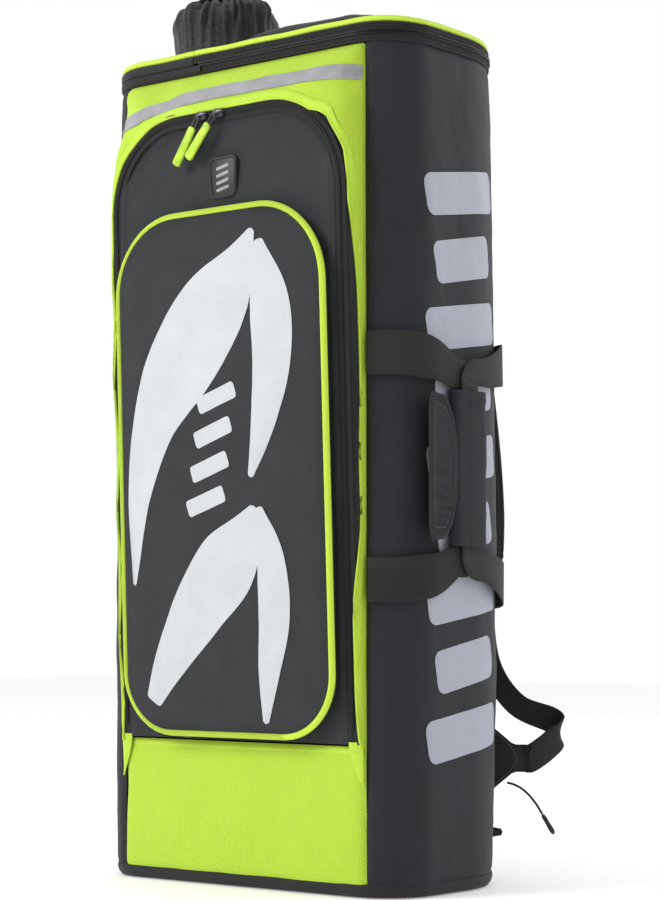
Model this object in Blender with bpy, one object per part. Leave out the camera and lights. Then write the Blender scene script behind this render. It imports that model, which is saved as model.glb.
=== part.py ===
"""Racket tournament bag: a tall soft-sided bag with a round rear plan, a zipped lid, an arched front
pocket that carries a raised zipped organizer, a tube collar, a wrapped side handle and a back harness.

Frame: metres, +Z up, front towards -Y, carry handle on the +X side. The origin is the centre of the
underside of the base.
"""

import math

import bmesh
import bpy
from mathutils import Matrix, Vector

# ---- driving dimensions, metres ------------------------------------------------------------------
WIDTH = 0.350
DEPTH = 0.210
WALL_TOP = 0.744
FRONT_RADIUS = 0.050
BACK_RADIUS = 0.110
FRONT_SEAM_TURN = 0.015
BACK_SEAM_TURN = 0.030
GAP = 0.0003

WALL = 0.004
PANEL = 0.003
BASE_HEIGHT = 0.011
BOARD = 0.0025
BAND_HEIGHT = 0.017
PIPING_RADIUS = 0.003
LID_CROWN = 0.012
LID_FOLD_CLEARANCE = 0.004

COLLAR_SIDE_MARGIN = 0.018
COLLAR_RADIUS = 0.048
COLLAR_HEIGHT = 0.062
COLLAR_CLOTH = 0.0025
COLLAR_MOUTH_RADIUS = 0.021
COLLAR_LOCK_TRAVEL = 0.003

POCKET_DIVIDER_Y = -0.072
FLAP_BOTTOM = 0.124
FLAP_SIDE_MARGIN = 0.009
FLAP_TOP_MARGIN = 0.047
FLAP_TOP_RADIUS = 0.078
FLAP_FOOT = 0.004
FLAP_LEAN = 0.022
FLAP_STAND_OFF = 0.003
ZIP_TAPE = 0.0050
ZIP_THICKNESS = 0.0016

ORGANIZER_SIDE_MARGIN = 0.014
ORGANIZER_TOP_MARGIN = 0.090
ORGANIZER_BOTTOM = 0.012
ORGANIZER_TOP_RADIUS = 0.068
ORGANIZER_FOOT_RADIUS = 0.052
ORGANIZER_DEPTH = 0.014
ORGANIZER_SPLIT = 0.0070
ORGANIZER_CLOTH = 0.0025
ORGANIZER_PIPING_RADIUS = 0.0028

PULL_CLEARANCE = 0.0062

TAPE_HEIGHT = 0.0125
TAPE_THICKNESS = 0.0008
TAPE_EASE = 0.0010

BADGE_WIDTH = 0.030
BADGE_HEIGHT = 0.038
BADGE_THICKNESS = 0.0022

WEBBING = 0.038
WEBBING_GATHERED = 0.024
WEBBING_THICKNESS = 0.0018
GRIP_LENGTH = 0.134
GRIP_CLOTH = 0.0022
GRIP_EASE = 0.001
GRIP_STAND_OFF = 0.0115
LEAF_WIDTH = 0.034
LEAF_THICKNESS = 0.003

BACK_PAD_BOTTOM = 0.110
BACK_PAD_THICKNESS = 0.010
STRAP_THICKNESS = 0.012
STRAP_ROOT_X = 0.042
HARNESS_WEBBING = 0.025
ANCHOR_BASE = 0.096
ANCHOR_REACH = 0.050
ANCHOR_Z = 0.107
ANCHOR_THICKNESS = 0.0022
PULL_CORD_DIAMETER = 0.0022

# ---- derived sizes -------------------------------------------------------------------------------
SPLIT_Z = WALL_TOP - BAND_HEIGHT / 2
BAND_BOTTOM = WALL_TOP - BAND_HEIGHT
FRONT_SEAM_X = WIDTH / 2 - FRONT_RADIUS + FRONT_SEAM_TURN
BACK_SEAM_X = WIDTH / 2 - BACK_RADIUS + BACK_SEAM_TURN
COLLAR_X = COLLAR_SIDE_MARGIN + COLLAR_RADIUS - WIDTH / 2
LID_HINGE_X = COLLAR_X + COLLAR_RADIUS + 0.004
FLAP_HALF_WIDTH = FRONT_SEAM_X - FLAP_SIDE_MARGIN
FLAP_HEIGHT = BAND_BOTTOM - FLAP_BOTTOM - FLAP_TOP_MARGIN
ORGANIZER_HALF_WIDTH = FLAP_HALF_WIDTH - ORGANIZER_SIDE_MARGIN
ORGANIZER_TOP = FLAP_HEIGHT - ORGANIZER_TOP_MARGIN
BADGE_V = ORGANIZER_TOP + 0.033
TAPE_Z = BAND_BOTTOM - 0.0280
GRIP_Z = WALL_TOP / 2 - 0.010
GRIP_Y = 0.084 - DEPTH / 2
BACK_PAD_WIDTH = 2 * (WIDTH / 2 - BACK_RADIUS - 0.003)
BACK_PAD_TOP = WALL_TOP - 0.104
STRAP_ROOT_Z = WALL_TOP - 0.086
STRAP_END_Z = ANCHOR_Z + 0.171
HAUL_LOOP_Z = WALL_TOP - 0.066
FRONT_SEAM_ANGLE = math.asin((FRONT_SEAM_X - (WIDTH / 2 - FRONT_RADIUS)) / FRONT_RADIUS)
BACK_SEAM_ANGLE = math.asin((BACK_SEAM_X - (WIDTH / 2 - BACK_RADIUS)) / BACK_RADIUS)
FLAP_TILT = math.atan2(FLAP_LEAN, FLAP_HEIGHT)
LID_EDGE_Z = WALL_TOP + WALL
WEBBING_STEP = WEBBING_THICKNESS + 3 * GAP
GRIP_WIDTH = WEBBING + 2 * (GRIP_CLOTH + GRIP_EASE)
GRIP_THICKNESS = WEBBING_STEP + WEBBING_THICKNESS + 2 * (GRIP_CLOTH + GRIP_EASE)
TOP_INSET = 2 * PIPING_RADIUS + GAP

LIME = ("lime_mesh", (0.62, 0.80, 0.06), 0.75, 0.0)
LIME_PIPING = ("lime_piping", (0.66, 0.86, 0.08), 0.55, 0.0)
BLACK = ("black_fabric", (0.030, 0.031, 0.036), 0.85, 0.0)
LINING = ("lining", (0.10, 0.10, 0.11), 0.85, 0.0)
BOARDING = ("stiffener_board", (0.05, 0.05, 0.05), 0.6, 0.0)
ZIP = ("zip_coil", (0.012, 0.012, 0.013), 0.45, 0.0)
SILVER = ("reflective_tape", (0.40, 0.40, 0.42), 0.35, 0.0)
COLLAR = ("collar_nylon", (0.035, 0.036, 0.040), 0.5, 0.0)
STRAPPING = ("webbing", (0.020, 0.019, 0.018), 0.8, 0.0)
WRAP = ("grip_wrap", (0.018, 0.019, 0.026), 0.8, 0.0)
PAD = ("padding", (0.035, 0.035, 0.038), 0.9, 0.0)
PLASTIC = ("black_plastic", (0.02, 0.02, 0.02), 0.35, 0.0)
METAL = ("dark_metal", (0.10, 0.10, 0.11), 0.3, 1.0)
RUBBER = ("badge_rubber", (0.05, 0.05, 0.055), 0.5, 0.0)
CORD = ("cord", (0.02, 0.02, 0.02), 0.8, 0.0)


# ---- scene helpers -------------------------------------------------------------------------------
def clear_scene():
    for obj in list(bpy.data.objects):
        bpy.data.objects.remove(obj, do_unlink=True)


def material(spec):
    name, colour, roughness, metallic = spec
    found = bpy.data.materials.get(name)
    if found:
        return found
    made = bpy.data.materials.new(name)
    made.use_nodes = True
    shader = made.node_tree.nodes["Principled BSDF"]
    shader.inputs["Base Color"].default_value = (*colour, 1.0)
    shader.inputs["Roughness"].default_value = roughness
    shader.inputs["Metallic"].default_value = metallic
    return made


def pivot(name, matrix, parent=None):
    """An empty whose origin lies on a joint's axis."""
    empty = bpy.data.objects.new(name, None)
    bpy.context.scene.collection.objects.link(empty)
    empty.parent = parent
    empty.matrix_world = matrix
    bpy.context.view_layer.update()
    return empty


def add(name, bm, spec, parent=None, smooth=40.0, space=None):
    """Makes an object from a mesh given in row coordinates, or in those of the matrix space."""
    if space is not None:
        bm.transform(space)
    if parent is not None:
        bm.transform(parent.matrix_world.inverted())
    bmesh.ops.recalc_face_normals(bm, faces=bm.faces)
    mesh = bpy.data.meshes.new(name)
    bm.to_mesh(mesh)
    bm.free()
    mesh.materials.append(material(spec))
    mesh.shade_smooth()
    mesh.set_sharp_from_angle(angle=math.radians(smooth))
    obj = bpy.data.objects.new(name, mesh)
    bpy.context.scene.collection.objects.link(obj)
    obj.parent = parent
    bpy.context.view_layer.update()
    return obj


# ---- shape helpers -------------------------------------------------------------------------------
def loft(loops, closed_ends=True):
    """A tube through loops of equal count, with both ends capped, or joined end to end if not."""
    bm = bmesh.new()
    rows = [[bm.verts.new(p) for p in loop] for loop in loops]
    pairs = list(zip(rows, rows[1:]))
    if not closed_ends:
        pairs.append((rows[-1], rows[0]))
    count = len(rows[0])
    for low, high in pairs:
        for i in range(count):
            j = (i + 1) % count
            bm.faces.new((low[i], low[j], high[j], high[i]))
    if closed_ends:
        bm.faces.new(rows[0][::-1])
        bm.faces.new(rows[-1])
    return bm


def shell(outer, inner):
    """A closed skin between two grids of points, outer[i][j] and inner[i][j]."""
    bm = bmesh.new()
    top = [[bm.verts.new(p) for p in row] for row in outer]
    low = [[bm.verts.new(p) for p in row] for row in inner]
    rows, cols = len(top), len(top[0])
    for i in range(rows - 1):
        for j in range(cols - 1):
            bm.faces.new((top[i][j], top[i][j + 1], top[i + 1][j + 1], top[i + 1][j]))
            bm.faces.new((low[i][j], low[i + 1][j], low[i + 1][j + 1], low[i][j + 1]))
    for i in range(rows - 1):
        for j in (0, cols - 1):
            bm.faces.new((top[i][j], top[i + 1][j], low[i + 1][j], low[i][j]))
    for j in range(cols - 1):
        for i in (0, rows - 1):
            bm.faces.new((top[i][j], top[i][j + 1], low[i][j + 1], low[i][j]))
    return bm


def prism(points, z0, z1):
    """An upright prism on a plan outline."""
    return loft([[(x, y, z) for x, y in points] for z in (z0, z1)])


def ring(outer, inner, w0, w1, axis=2):
    """A closed band between two matching outlines, from w0 to w1 along the third coordinate."""
    def at(point, w):
        return (point[0], point[1], w) if axis == 2 else (point[0], w, point[1])
    loops = [[at(p, w0) for p in outer], [at(p, w1) for p in outer],
             [at(p, w1) for p in inner], [at(p, w0) for p in inner]]
    return loft(loops, closed_ends=False)


def block(size, centre, bevel=0.0, space=None):
    """A box of the given size with rounded edges."""
    bm = bmesh.new()
    bmesh.ops.create_cube(bm, size=1.0)
    bmesh.ops.scale(bm, vec=size, verts=bm.verts)
    if bevel:
        bmesh.ops.bevel(bm, geom=bm.edges[:], offset=bevel, segments=2, affect="EDGES", profile=0.5)
    bmesh.ops.translate(bm, vec=centre, verts=bm.verts)
    if space is not None:
        bm.transform(space)
    return bm


def smooth_path(points, steps):
    """Points on a Catmull-Rom curve through the given ones."""
    pts = [Vector(p) for p in points]
    pts = [2 * pts[0] - pts[1], *pts, 2 * pts[-1] - pts[-2]]
    out = []
    for a, b, c, d in zip(pts, pts[1:], pts[2:], pts[3:]):
        for k in range(steps):
            t = k / steps
            out.append(0.5 * (2 * b + (c - a) * t + (2 * a - 5 * b + 4 * c - d) * t * t
                              + (3 * b - a - 3 * c + d) * t ** 3))
    out.append(pts[-2])
    return out


def ribbon(centres, widths, thicknesses, across):
    """A strap through centres; across gives the direction of its width at each point."""
    loops = []
    for i, centre in enumerate(centres):
        before, after = centres[max(i - 1, 0)], centres[min(i + 1, len(centres) - 1)]
        along = (after - before).normalized()
        side = (across[i] - along * across[i].dot(along)).normalized() * (widths[i] / 2)
        up = along.cross(side).normalized() * (thicknesses[i] / 2)
        loops.append([centre - side - up, centre + side - up, centre + side + up, centre - side + up])
    return loft(loops)


def even(value, count):
    return [value] * count


def bead(name, points, radius, spec, parent=None, closed=False, sides=2):
    """A round cord or piping as a curve with a bevel, through points in row coordinates."""
    curve = bpy.data.curves.new(name, "CURVE")
    curve.dimensions = "3D"
    curve.bevel_depth = radius
    curve.bevel_resolution = sides
    curve.use_fill_caps = True
    line = curve.splines.new("POLY")
    line.points.add(len(points) - 1)
    local = parent.matrix_world.inverted() if parent else Matrix.Identity(4)
    for slot, point in zip(line.points, points):
        slot.co = (*(local @ Vector(point)), 1.0)
    line.use_cyclic_u = closed
    curve.materials.append(material(spec))
    obj = bpy.data.objects.new(name, curve)
    bpy.context.scene.collection.objects.link(obj)
    obj.parent = parent
    bpy.context.view_layer.update()
    return obj


# ---- plan of the bag -----------------------------------------------------------------------------
def front_corner(side, inset, start, end, steps=8):
    """Plan points of a front corner; the angle runs from the front (0) to the side (90 degrees)."""
    cx, cy, r = WIDTH / 2 - FRONT_RADIUS, FRONT_RADIUS - DEPTH / 2, FRONT_RADIUS - inset
    angles = [start + (end - start) * k / steps for k in range(steps + 1)]
    return [(side * (cx + r * math.sin(a)), cy - r * math.cos(a)) for a in angles]


def back_corner(side, inset, start, end, steps=10):
    """Plan points of a back corner; the angle runs from the back (0) to the side (90 degrees)."""
    cx, cy, r = WIDTH / 2 - BACK_RADIUS, DEPTH / 2 - BACK_RADIUS, BACK_RADIUS - inset
    angles = [start + (end - start) * k / steps for k in range(steps + 1)]
    return [(side * (cx + r * math.sin(a)), cy + r * math.cos(a)) for a in angles]


HALF_TURN = math.pi / 2
FRONT_SLIT = GAP / 2 / (FRONT_RADIUS - WALL)
BACK_SLIT = GAP / 2 / (BACK_RADIUS - WALL)


def side_line(side, inset):
    return (front_corner(side, inset, FRONT_SEAM_ANGLE + FRONT_SLIT, HALF_TURN)
            + back_corner(side, inset, HALF_TURN, BACK_SEAM_ANGLE + BACK_SLIT))


def front_line(inset):
    angle = FRONT_SEAM_ANGLE - FRONT_SLIT
    return front_corner(-1, inset, angle, 0.0, 3) + front_corner(1, inset, 0.0, angle, 3)


def back_line(inset):
    angle = BACK_SEAM_ANGLE - BACK_SLIT
    return back_corner(1, inset, angle, 0.0, 3) + back_corner(-1, inset, 0.0, angle, 3)


def half_line(side, inset, x):
    """The plan outline on one side of the plane x, from the front to the back."""
    front = [(x, inset - DEPTH / 2)] + front_corner(side, inset, 0.0, HALF_TURN)
    back = back_corner(side, inset, HALF_TURN, 0.0) + [(x, DEPTH / 2 - inset)]
    return front + back


def whole_line(inset):
    return (front_corner(1, inset, 0.0, HALF_TURN) + back_corner(1, inset, HALF_TURN, 0.0)
            + back_corner(-1, inset, 0.0, HALF_TURN) + front_corner(-1, inset, HALF_TURN, 0.0))


def chord(x, inset):
    """The front and back limits of the plan outline at x."""
    front, back = inset - DEPTH / 2, DEPTH / 2 - inset
    over = abs(x) - (WIDTH / 2 - FRONT_RADIUS)
    if over > 0:
        front = FRONT_RADIUS - DEPTH / 2 - math.sqrt(max((FRONT_RADIUS - inset) ** 2 - over ** 2, 0))
    over = abs(x) - (WIDTH / 2 - BACK_RADIUS)
    if over > 0:
        back = DEPTH / 2 - BACK_RADIUS + math.sqrt(max((BACK_RADIUS - inset) ** 2 - over ** 2, 0))
    return front, back


def half_width_at(y, inset):
    """How far the plan outline reaches to the side at y."""
    front_y, back_y = FRONT_RADIUS - DEPTH / 2, DEPTH / 2 - BACK_RADIUS
    if y < front_y:
        return WIDTH / 2 - FRONT_RADIUS + math.sqrt((FRONT_RADIUS - inset) ** 2 - (y - front_y) ** 2)
    if y > back_y:
        return WIDTH / 2 - BACK_RADIUS + math.sqrt((BACK_RADIUS - inset) ** 2 - (y - back_y) ** 2)
    return WIDTH / 2 - inset


def wall_point(side, travel, off):
    """A plan point at a distance travelled round the outline from the front seam, and its normal."""
    front_arc = FRONT_RADIUS * (HALF_TURN - FRONT_SEAM_ANGLE)
    straight = DEPTH - FRONT_RADIUS - BACK_RADIUS
    if travel < front_arc:
        angle = FRONT_SEAM_ANGLE + travel / FRONT_RADIUS
        normal = Vector((side * math.sin(angle), -math.cos(angle), 0))
        base = Vector((side * (WIDTH / 2 - FRONT_RADIUS), FRONT_RADIUS - DEPTH / 2, 0))
        return base + normal * (FRONT_RADIUS + off), normal
    travel -= front_arc
    if travel < straight:
        normal = Vector((side, 0, 0))
        return Vector((side * (WIDTH / 2 + off), FRONT_RADIUS - DEPTH / 2 + travel, 0)), normal
    angle = HALF_TURN - (travel - straight) / BACK_RADIUS
    normal = Vector((side * math.sin(angle), math.cos(angle), 0))
    base = Vector((side * (WIDTH / 2 - BACK_RADIUS), DEPTH / 2 - BACK_RADIUS, 0))
    return base + normal * (BACK_RADIUS + off), normal


def travel_to_y(y):
    """Distance round the side wall from the front seam to the plane y on its straight part."""
    return FRONT_RADIUS * (HALF_TURN - FRONT_SEAM_ANGLE) + (y - (FRONT_RADIUS - DEPTH / 2))


WALL_TRAVEL = (FRONT_RADIUS * (HALF_TURN - FRONT_SEAM_ANGLE) + DEPTH - FRONT_RADIUS - BACK_RADIUS
               + BACK_RADIUS * (HALF_TURN - BACK_SEAM_ANGLE))


# ---- walls, base and boards ----------------------------------------------------------------------
def wall(name, line, z0, z1, spec, thickness=WALL):
    points = line(0.0) + line(thickness)[::-1]
    return add(name, prism(points, z0, z1), spec)


def build_walls():
    top = BAND_BOTTOM - GAP
    bottom = BASE_HEIGHT + GAP
    wall("right_side_panel", lambda inset: side_line(1, inset), bottom, top, BLACK)
    wall("left_side_panel", lambda inset: side_line(-1, inset), bottom, top, BLACK)
    wall("back_panel", back_line, bottom, top, BLACK)
    wall("front_lower_panel", front_line, bottom, FLAP_BOTTOM - GAP, LIME)


def build_base():
    loops = []
    for inset, z in ((0.012, 0.0), (0.007, 0.003), (0.005, BASE_HEIGHT)):
        loops.append([(x, y, z) for x, y in whole_line(inset)])
    add("base_panel", loft(loops), BLACK)
    board = whole_line(WALL + GAP)
    z0 = BASE_HEIGHT + GAP
    add("base_board", prism(board, z0, z0 + BOARD), BOARDING)


def build_boards():
    """The pocket divider across the bag, and the board that stiffens its back."""
    z0 = BASE_HEIGHT + BOARD + 2 * GAP
    z1 = SPLIT_Z - 2 * GAP
    front = POCKET_DIVIDER_Y
    back = POCKET_DIVIDER_Y + BOARD
    reach = min(half_width_at(front, WALL), half_width_at(back, WALL)) - GAP
    add("pocket_divider", block((2 * reach, BOARD, z1 - z0), (0, (front + back) / 2, (z0 + z1) / 2)), LINING)
    board_y = DEPTH / 2 - WALL - GAP - BOARD / 2
    half = WIDTH / 2 - BACK_RADIUS
    size = (2 * half, BOARD, z1 - z0)
    add("back_board", block(size, (0, board_y, (z0 + z1) / 2)), BOARDING)


# ---- top: zip band, fixed deck with its collar, and the hinged lid -------------------------------
def build_rim():
    band = ring(whole_line(0.0), whole_line(WALL), BAND_BOTTOM, SPLIT_Z - GAP / 2)
    add("rim_band", band, BLACK)
    left = half_line(-1, 0.0, LID_HINGE_X) + half_line(-1, WALL, LID_HINGE_X)[::-1]
    add("deck_band", prism(left, SPLIT_Z + GAP / 2, WALL_TOP), BLACK)


def crown(x, y):
    """Height of the soft top over its edge."""
    return LID_CROWN * (1 - (2 * x / WIDTH) ** 2) * (1 - (2 * y / DEPTH) ** 2)


def top_sheet(x0, x1, inset, steps):
    """A crowned sheet over the plan between two planes across the bag."""
    rows_top, rows_low = [], []
    for i in range(steps + 1):
        x = x0 + (x1 - x0) * math.sin(HALF_TURN * i / steps)
        front, back = chord(x, inset)
        line = [(x, front + (back - front) * j / 10) for j in range(11)]
        rows_top.append([(px, py, LID_EDGE_Z + crown(px, py)) for px, py in line])
        rows_low.append([(px, py, LID_EDGE_Z - WALL + GAP + crown(px, py)) for px, py in line])
    return shell(rows_top, rows_low)


def piping_line(side, x):
    return [(px, py, WALL_TOP + GAP + PIPING_RADIUS) for px, py in half_line(side, PIPING_RADIUS, x)]


def build_deck():
    edge = WIDTH / 2 - TOP_INSET
    deck = add("top_deck", top_sheet(LID_HINGE_X, -edge, TOP_INSET, 14), BLACK)
    bm = bmesh.new()
    bmesh.ops.create_cone(bm, cap_ends=True, segments=48, radius1=COLLAR_RADIUS - 0.006,
                          radius2=COLLAR_RADIUS - 0.006, depth=0.1)
    cutter = add("collar_hole_cutter", bm, BLACK, space=Matrix.Translation((COLLAR_X, 0, LID_EDGE_Z)))
    cutter.hide_render = True
    cutter.display_type = "WIRE"
    cut = deck.modifiers.new("collar_hole", "BOOLEAN")
    cut.object = cutter
    cut.operation = "DIFFERENCE"
    cut.solver = "EXACT"
    bead("deck_piping", piping_line(-1, LID_HINGE_X), PIPING_RADIUS, LIME_PIPING)


def build_collar():
    """The gathered collar: a tube that stands on the deck, and a neck drawn in by a cord."""
    base = LID_EDGE_Z + LID_CROWN
    neck = COLLAR_MOUTH_RADIUS + COLLAR_CLOTH
    neck_z = base + COLLAR_HEIGHT - 0.0062
    profile = [(COLLAR_RADIUS, None), (COLLAR_RADIUS, base), (COLLAR_RADIUS + 0.001, base + COLLAR_HEIGHT * 0.45),
               (COLLAR_RADIUS - 0.002, base + COLLAR_HEIGHT * 0.70), (COLLAR_RADIUS - 0.010, neck_z - 0.0025),
               (neck, neck_z), (neck, neck_z + 0.0031), (neck + 0.006, base + COLLAR_HEIGHT)]
    count = 40
    shoulder = profile[4]
    upper = [(shoulder[0], shoulder[1] + GAP), *profile[5:]]
    for name, part in (("tube_collar", profile[:5]), ("collar_neck", upper)):
        outer, inner = [], []
        for radius, height in part:
            for rows, r in ((outer, radius), (inner, radius - COLLAR_CLOTH)):
                row = []
                for k in range(count):
                    angle = 2 * math.pi * k / count
                    x, y = COLLAR_X + r * math.cos(angle), r * math.sin(angle)
                    foot = LID_EDGE_Z + crown(x, y) + GAP
                    row.append((x, y, foot if height is None else height))
                rows.append(row)
        add(name, loft(outer + inner[::-1], closed_ends=False), COLLAR)

    cord_radius = 0.0013
    draw = neck + cord_radius + GAP
    draw_z = neck_z + cord_radius + 2 * GAP
    points = [(COLLAR_X + draw * math.cos(a), draw * math.sin(a), draw_z)
              for a in (2 * math.pi * k / 32 for k in range(32))]
    bead("collar_drawcord", points, cord_radius, CORD, closed=True)
    lock = Vector((0.012, 0.011, 0.0044))
    lock_y = neck + 0.006 + lock.y / 2 + GAP
    lock_z = neck_z + 0.0022
    shell_wall = 0.0009
    outer = centred_rectangle(lock.x, lock.z, 0.0010)
    inner = centred_rectangle(lock.x - 2 * shell_wall, lock.z - 2 * shell_wall, 0.0004)
    spot = Matrix.Translation((COLLAR_X, lock_y, lock_z))
    add("cord_lock", ring(outer, inner, -lock.y / 2, lock.y / 2, axis=1), PLASTIC, space=spot)
    plunger = Vector((lock.x - 2 * shell_wall - 2 * GAP, 0.0070, lock.z - 2 * shell_wall - 2 * GAP))
    button_y = lock_y + lock.y / 2 + COLLAR_LOCK_TRAVEL - plunger.y / 2
    stem = pivot("cord_lock_button_pivot", Matrix.Translation((COLLAR_X, button_y, lock_z)))
    add("cord_lock_button", block(plunger, (COLLAR_X, button_y, lock_z), 0.0003), PLASTIC, stem)


def build_lid():
    x0 = LID_HINGE_X + LID_FOLD_CLEARANCE
    hinge = pivot("lid_pivot", Matrix.Translation((LID_HINGE_X, 0, LID_EDGE_Z + LID_CROWN)))
    right = half_line(1, 0.0, x0) + half_line(1, WALL, x0)[::-1]
    add("lid_band", prism(right, SPLIT_Z + GAP / 2, WALL_TOP), BLACK, hinge)
    edge = WIDTH / 2 - TOP_INSET
    add("lid_panel", top_sheet(x0, edge, TOP_INSET, 22), BLACK, hinge)
    bead("lid_piping", piping_line(1, x0), PIPING_RADIUS, LIME_PIPING, hinge)


# ---- zip sliders and their pulls -----------------------------------------------------------------
def slider(name, space, parent, length=0.012, width=0.009, height=0.0042):
    """A slider lying on a zip; space puts its length on X and its outward side on Z."""
    return add(name, block((length, width, height), (0, 0, height / 2 + GAP), 0.0011), METAL, parent, space=space)


def zip_pull(name, space, parent, length, width, thickness, spec, tilt=0.0):
    """A pull hanging from a slider; space as the slider's, and tilt turns it about the outward side."""
    hang = space @ Matrix.Rotation(tilt, 4, "Z")
    empty = pivot(name + "_pivot", hang @ Matrix.Translation((0, -0.002, PULL_CLEARANCE)), parent)
    size = (width, length, thickness)
    centre = (0, -length / 2 - 0.001, PULL_CLEARANCE + thickness / 2 - 0.0004)
    add(name, block(size, centre, min(thickness, width) * 0.35), spec, empty, space=hang)
    return empty


def build_lid_zip():
    outward = Matrix.Translation((LID_HINGE_X + 0.009, DEPTH / 2, SPLIT_Z)) @ Matrix.Rotation(math.pi, 4, "Z")
    space = outward @ Matrix.Rotation(HALF_TURN, 4, "X")
    travel = pivot("lid_slider_pivot", space)
    slider("lid_slider", space, travel)
    zip_pull("lid_zip_pull", space, travel, 0.028, 0.007, 0.0024, LIME_PIPING)


# ---- front pocket --------------------------------------------------------------------------------
def arch(half_width, bottom, top, top_radius, grow=0.0, corner=10, straight=6):
    """An open-bottomed arch as a line from its lower left, over the top, to its lower right."""
    half, roof = half_width + grow, top + grow
    r_top = top_radius + grow
    pts = [(-half, bottom + (roof - r_top - bottom) * k / straight) for k in range(straight)]
    for k in range(corner + 1):
        a = HALF_TURN * k / corner
        pts.append((-half + r_top - r_top * math.cos(a), roof - r_top + r_top * math.sin(a)))
    right = [(-x, v) for x, v in pts[::-1]]
    return pts + right


def rounded(half_width, bottom, top, top_radius, foot_radius, grow=0.0, corner=8):
    """A closed outline with two sizes of corner, counter-clockwise from its lower right."""
    half, low, roof = half_width + grow, bottom - grow, top + grow
    r_top, r_low = top_radius + grow, foot_radius + grow
    pts = []
    for cx, cv, r, start in ((half - r_low, low + r_low, r_low, -1), (half - r_top, roof - r_top, r_top, 0),
                             (-half + r_top, roof - r_top, r_top, 1), (-half + r_low, low + r_low, r_low, 2)):
        for k in range(corner + 1):
            a = HALF_TURN * (start + k / corner)
            pts.append((cx + r * math.cos(a), cv + r * math.sin(a)))
    return pts


def centred_rectangle(width, height, radius):
    return rounded(width / 2, -height / 2, height / 2, radius, radius, 0.0, 3)


def flap_space():
    """Flap coordinates: X across, Y out of the bag's front as a height, Z up the leaning flap."""
    place = Matrix.Translation((0, -(DEPTH / 2 + FLAP_STAND_OFF), FLAP_BOTTOM))
    return place @ Matrix.Rotation(FLAP_TILT, 4, "X")


def flap_arch(grow):
    return arch(FLAP_HALF_WIDTH, 0.0, FLAP_HEIGHT, FLAP_TOP_RADIUS, grow)


def strip(line_a, line_b, w0, w1, foot):
    """A flat band between two open lines on the flap, w being the distance out of its face."""
    def place(line, w):
        return [(x, -w, max(v, foot)) for x, v in line]
    return shell([place(line_a, w1), place(line_b, w1)], [place(line_a, w0), place(line_b, w0)])


def build_front_frame():
    """The lime surround that bellies out from the side seams to the leaning arch."""
    space = flap_space()
    inner = [space @ Vector((x, 0, v)) for x, v in flap_arch(ZIP_TAPE)]
    count = len(inner)
    legs = 7
    roof = BAND_BOTTOM - GAP
    angle = FRONT_SEAM_ANGLE - FRONT_SLIT
    seam = Vector((WIDTH / 2 - FRONT_RADIUS + FRONT_RADIUS * math.sin(angle),
                   FRONT_RADIUS - DEPTH / 2 - FRONT_RADIUS * math.cos(angle), 0))
    outer = []
    for k, point in enumerate(inner):
        mirrored = min(k, count - 1 - k)
        side = -1 if k < count / 2 else 1
        corner_steps = count / 2 - 1 - legs
        if mirrored <= legs:
            z = FLAP_BOTTOM + (roof - FLAP_TOP_RADIUS - FLAP_BOTTOM) * mirrored / legs
            outer.append(Vector((side * seam.x, seam.y, z)))
            continue
        share = (mirrored - legs) / corner_steps
        if share < 0.5:
            z = roof - FLAP_TOP_RADIUS * (1 - 2 * share)
            outer.append(Vector((side * seam.x, seam.y, z)))
            continue
        reach = (2 * share - 1)
        x = seam.x + (abs(point.x) - seam.x) * reach
        _, y = front_plan(x)
        outer.append(Vector((side * x, y, roof)))
    rows_out, rows_in = [], []
    steps = 6
    for i in range(steps + 1):
        t = i / steps
        row_out, row_in = [], []
        for a, b in zip(outer, inner):
            point = a.lerp(b, t)
            point.y += (b.y - a.y) * (math.sin(HALF_TURN * t) - t) * 0.8
            lean = FRONT_SEAM_ANGLE * (1 - t) * min(abs(a.x) / seam.x, 1) ** 8
            inward = Vector((-math.copysign(math.sin(lean), a.x), math.cos(lean), 0))
            row_out.append(point)
            row_in.append(point + inward * PANEL)
        rows_out.append(row_out)
        rows_in.append(row_in)
    add("front_frame", shell(rows_out, rows_in), LIME)


def front_plan(x):
    """The front outline's point at x, on the flat or on the corner before the seam."""
    over = abs(x) - (WIDTH / 2 - FRONT_RADIUS)
    if over <= 0:
        return x, -DEPTH / 2
    return x, FRONT_RADIUS - DEPTH / 2 - math.sqrt(FRONT_RADIUS ** 2 - over ** 2)


def build_flap():
    space = flap_space()
    hinge = pivot("flap_pivot", space)
    foot = FLAP_FOOT
    edge = flap_arch(-ZIP_TAPE)
    half = len(edge) // 2
    left = [[(x * t, max(v, foot)) for t in (1.0, 0.72, 0.4, 0.12, 0.0)] for x, v in edge[:half]]
    grid = [line + [(-x, v) for x, v in line[-2::-1]] for line in left]
    front = [[(x, 0.0, v) for x, v in row] for row in grid]
    back = [[(x, PANEL, v) for x, v in row] for row in grid]
    add("front_flap", shell(front, back), BLACK, hinge, space=space)
    zip_out = -0.0005
    tape = strip(flap_arch(-GAP / 2), flap_arch(-ZIP_TAPE + GAP), zip_out - ZIP_THICKNESS, zip_out, foot)
    add("flap_zip_tape", tape, ZIP, hinge, space=space)
    tape = strip(flap_arch(ZIP_TAPE - GAP), flap_arch(GAP / 2), zip_out - ZIP_THICKNESS, zip_out, foot)
    add("frame_zip_tape", tape, ZIP, space=space)
    return hinge, space


def organizer_line(grow):
    return rounded(ORGANIZER_HALF_WIDTH, ORGANIZER_BOTTOM, ORGANIZER_TOP, ORGANIZER_TOP_RADIUS,
                   ORGANIZER_FOOT_RADIUS, grow)


def out_of_flap(points, w):
    return [(x, -w, v) for x, v in points]


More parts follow.
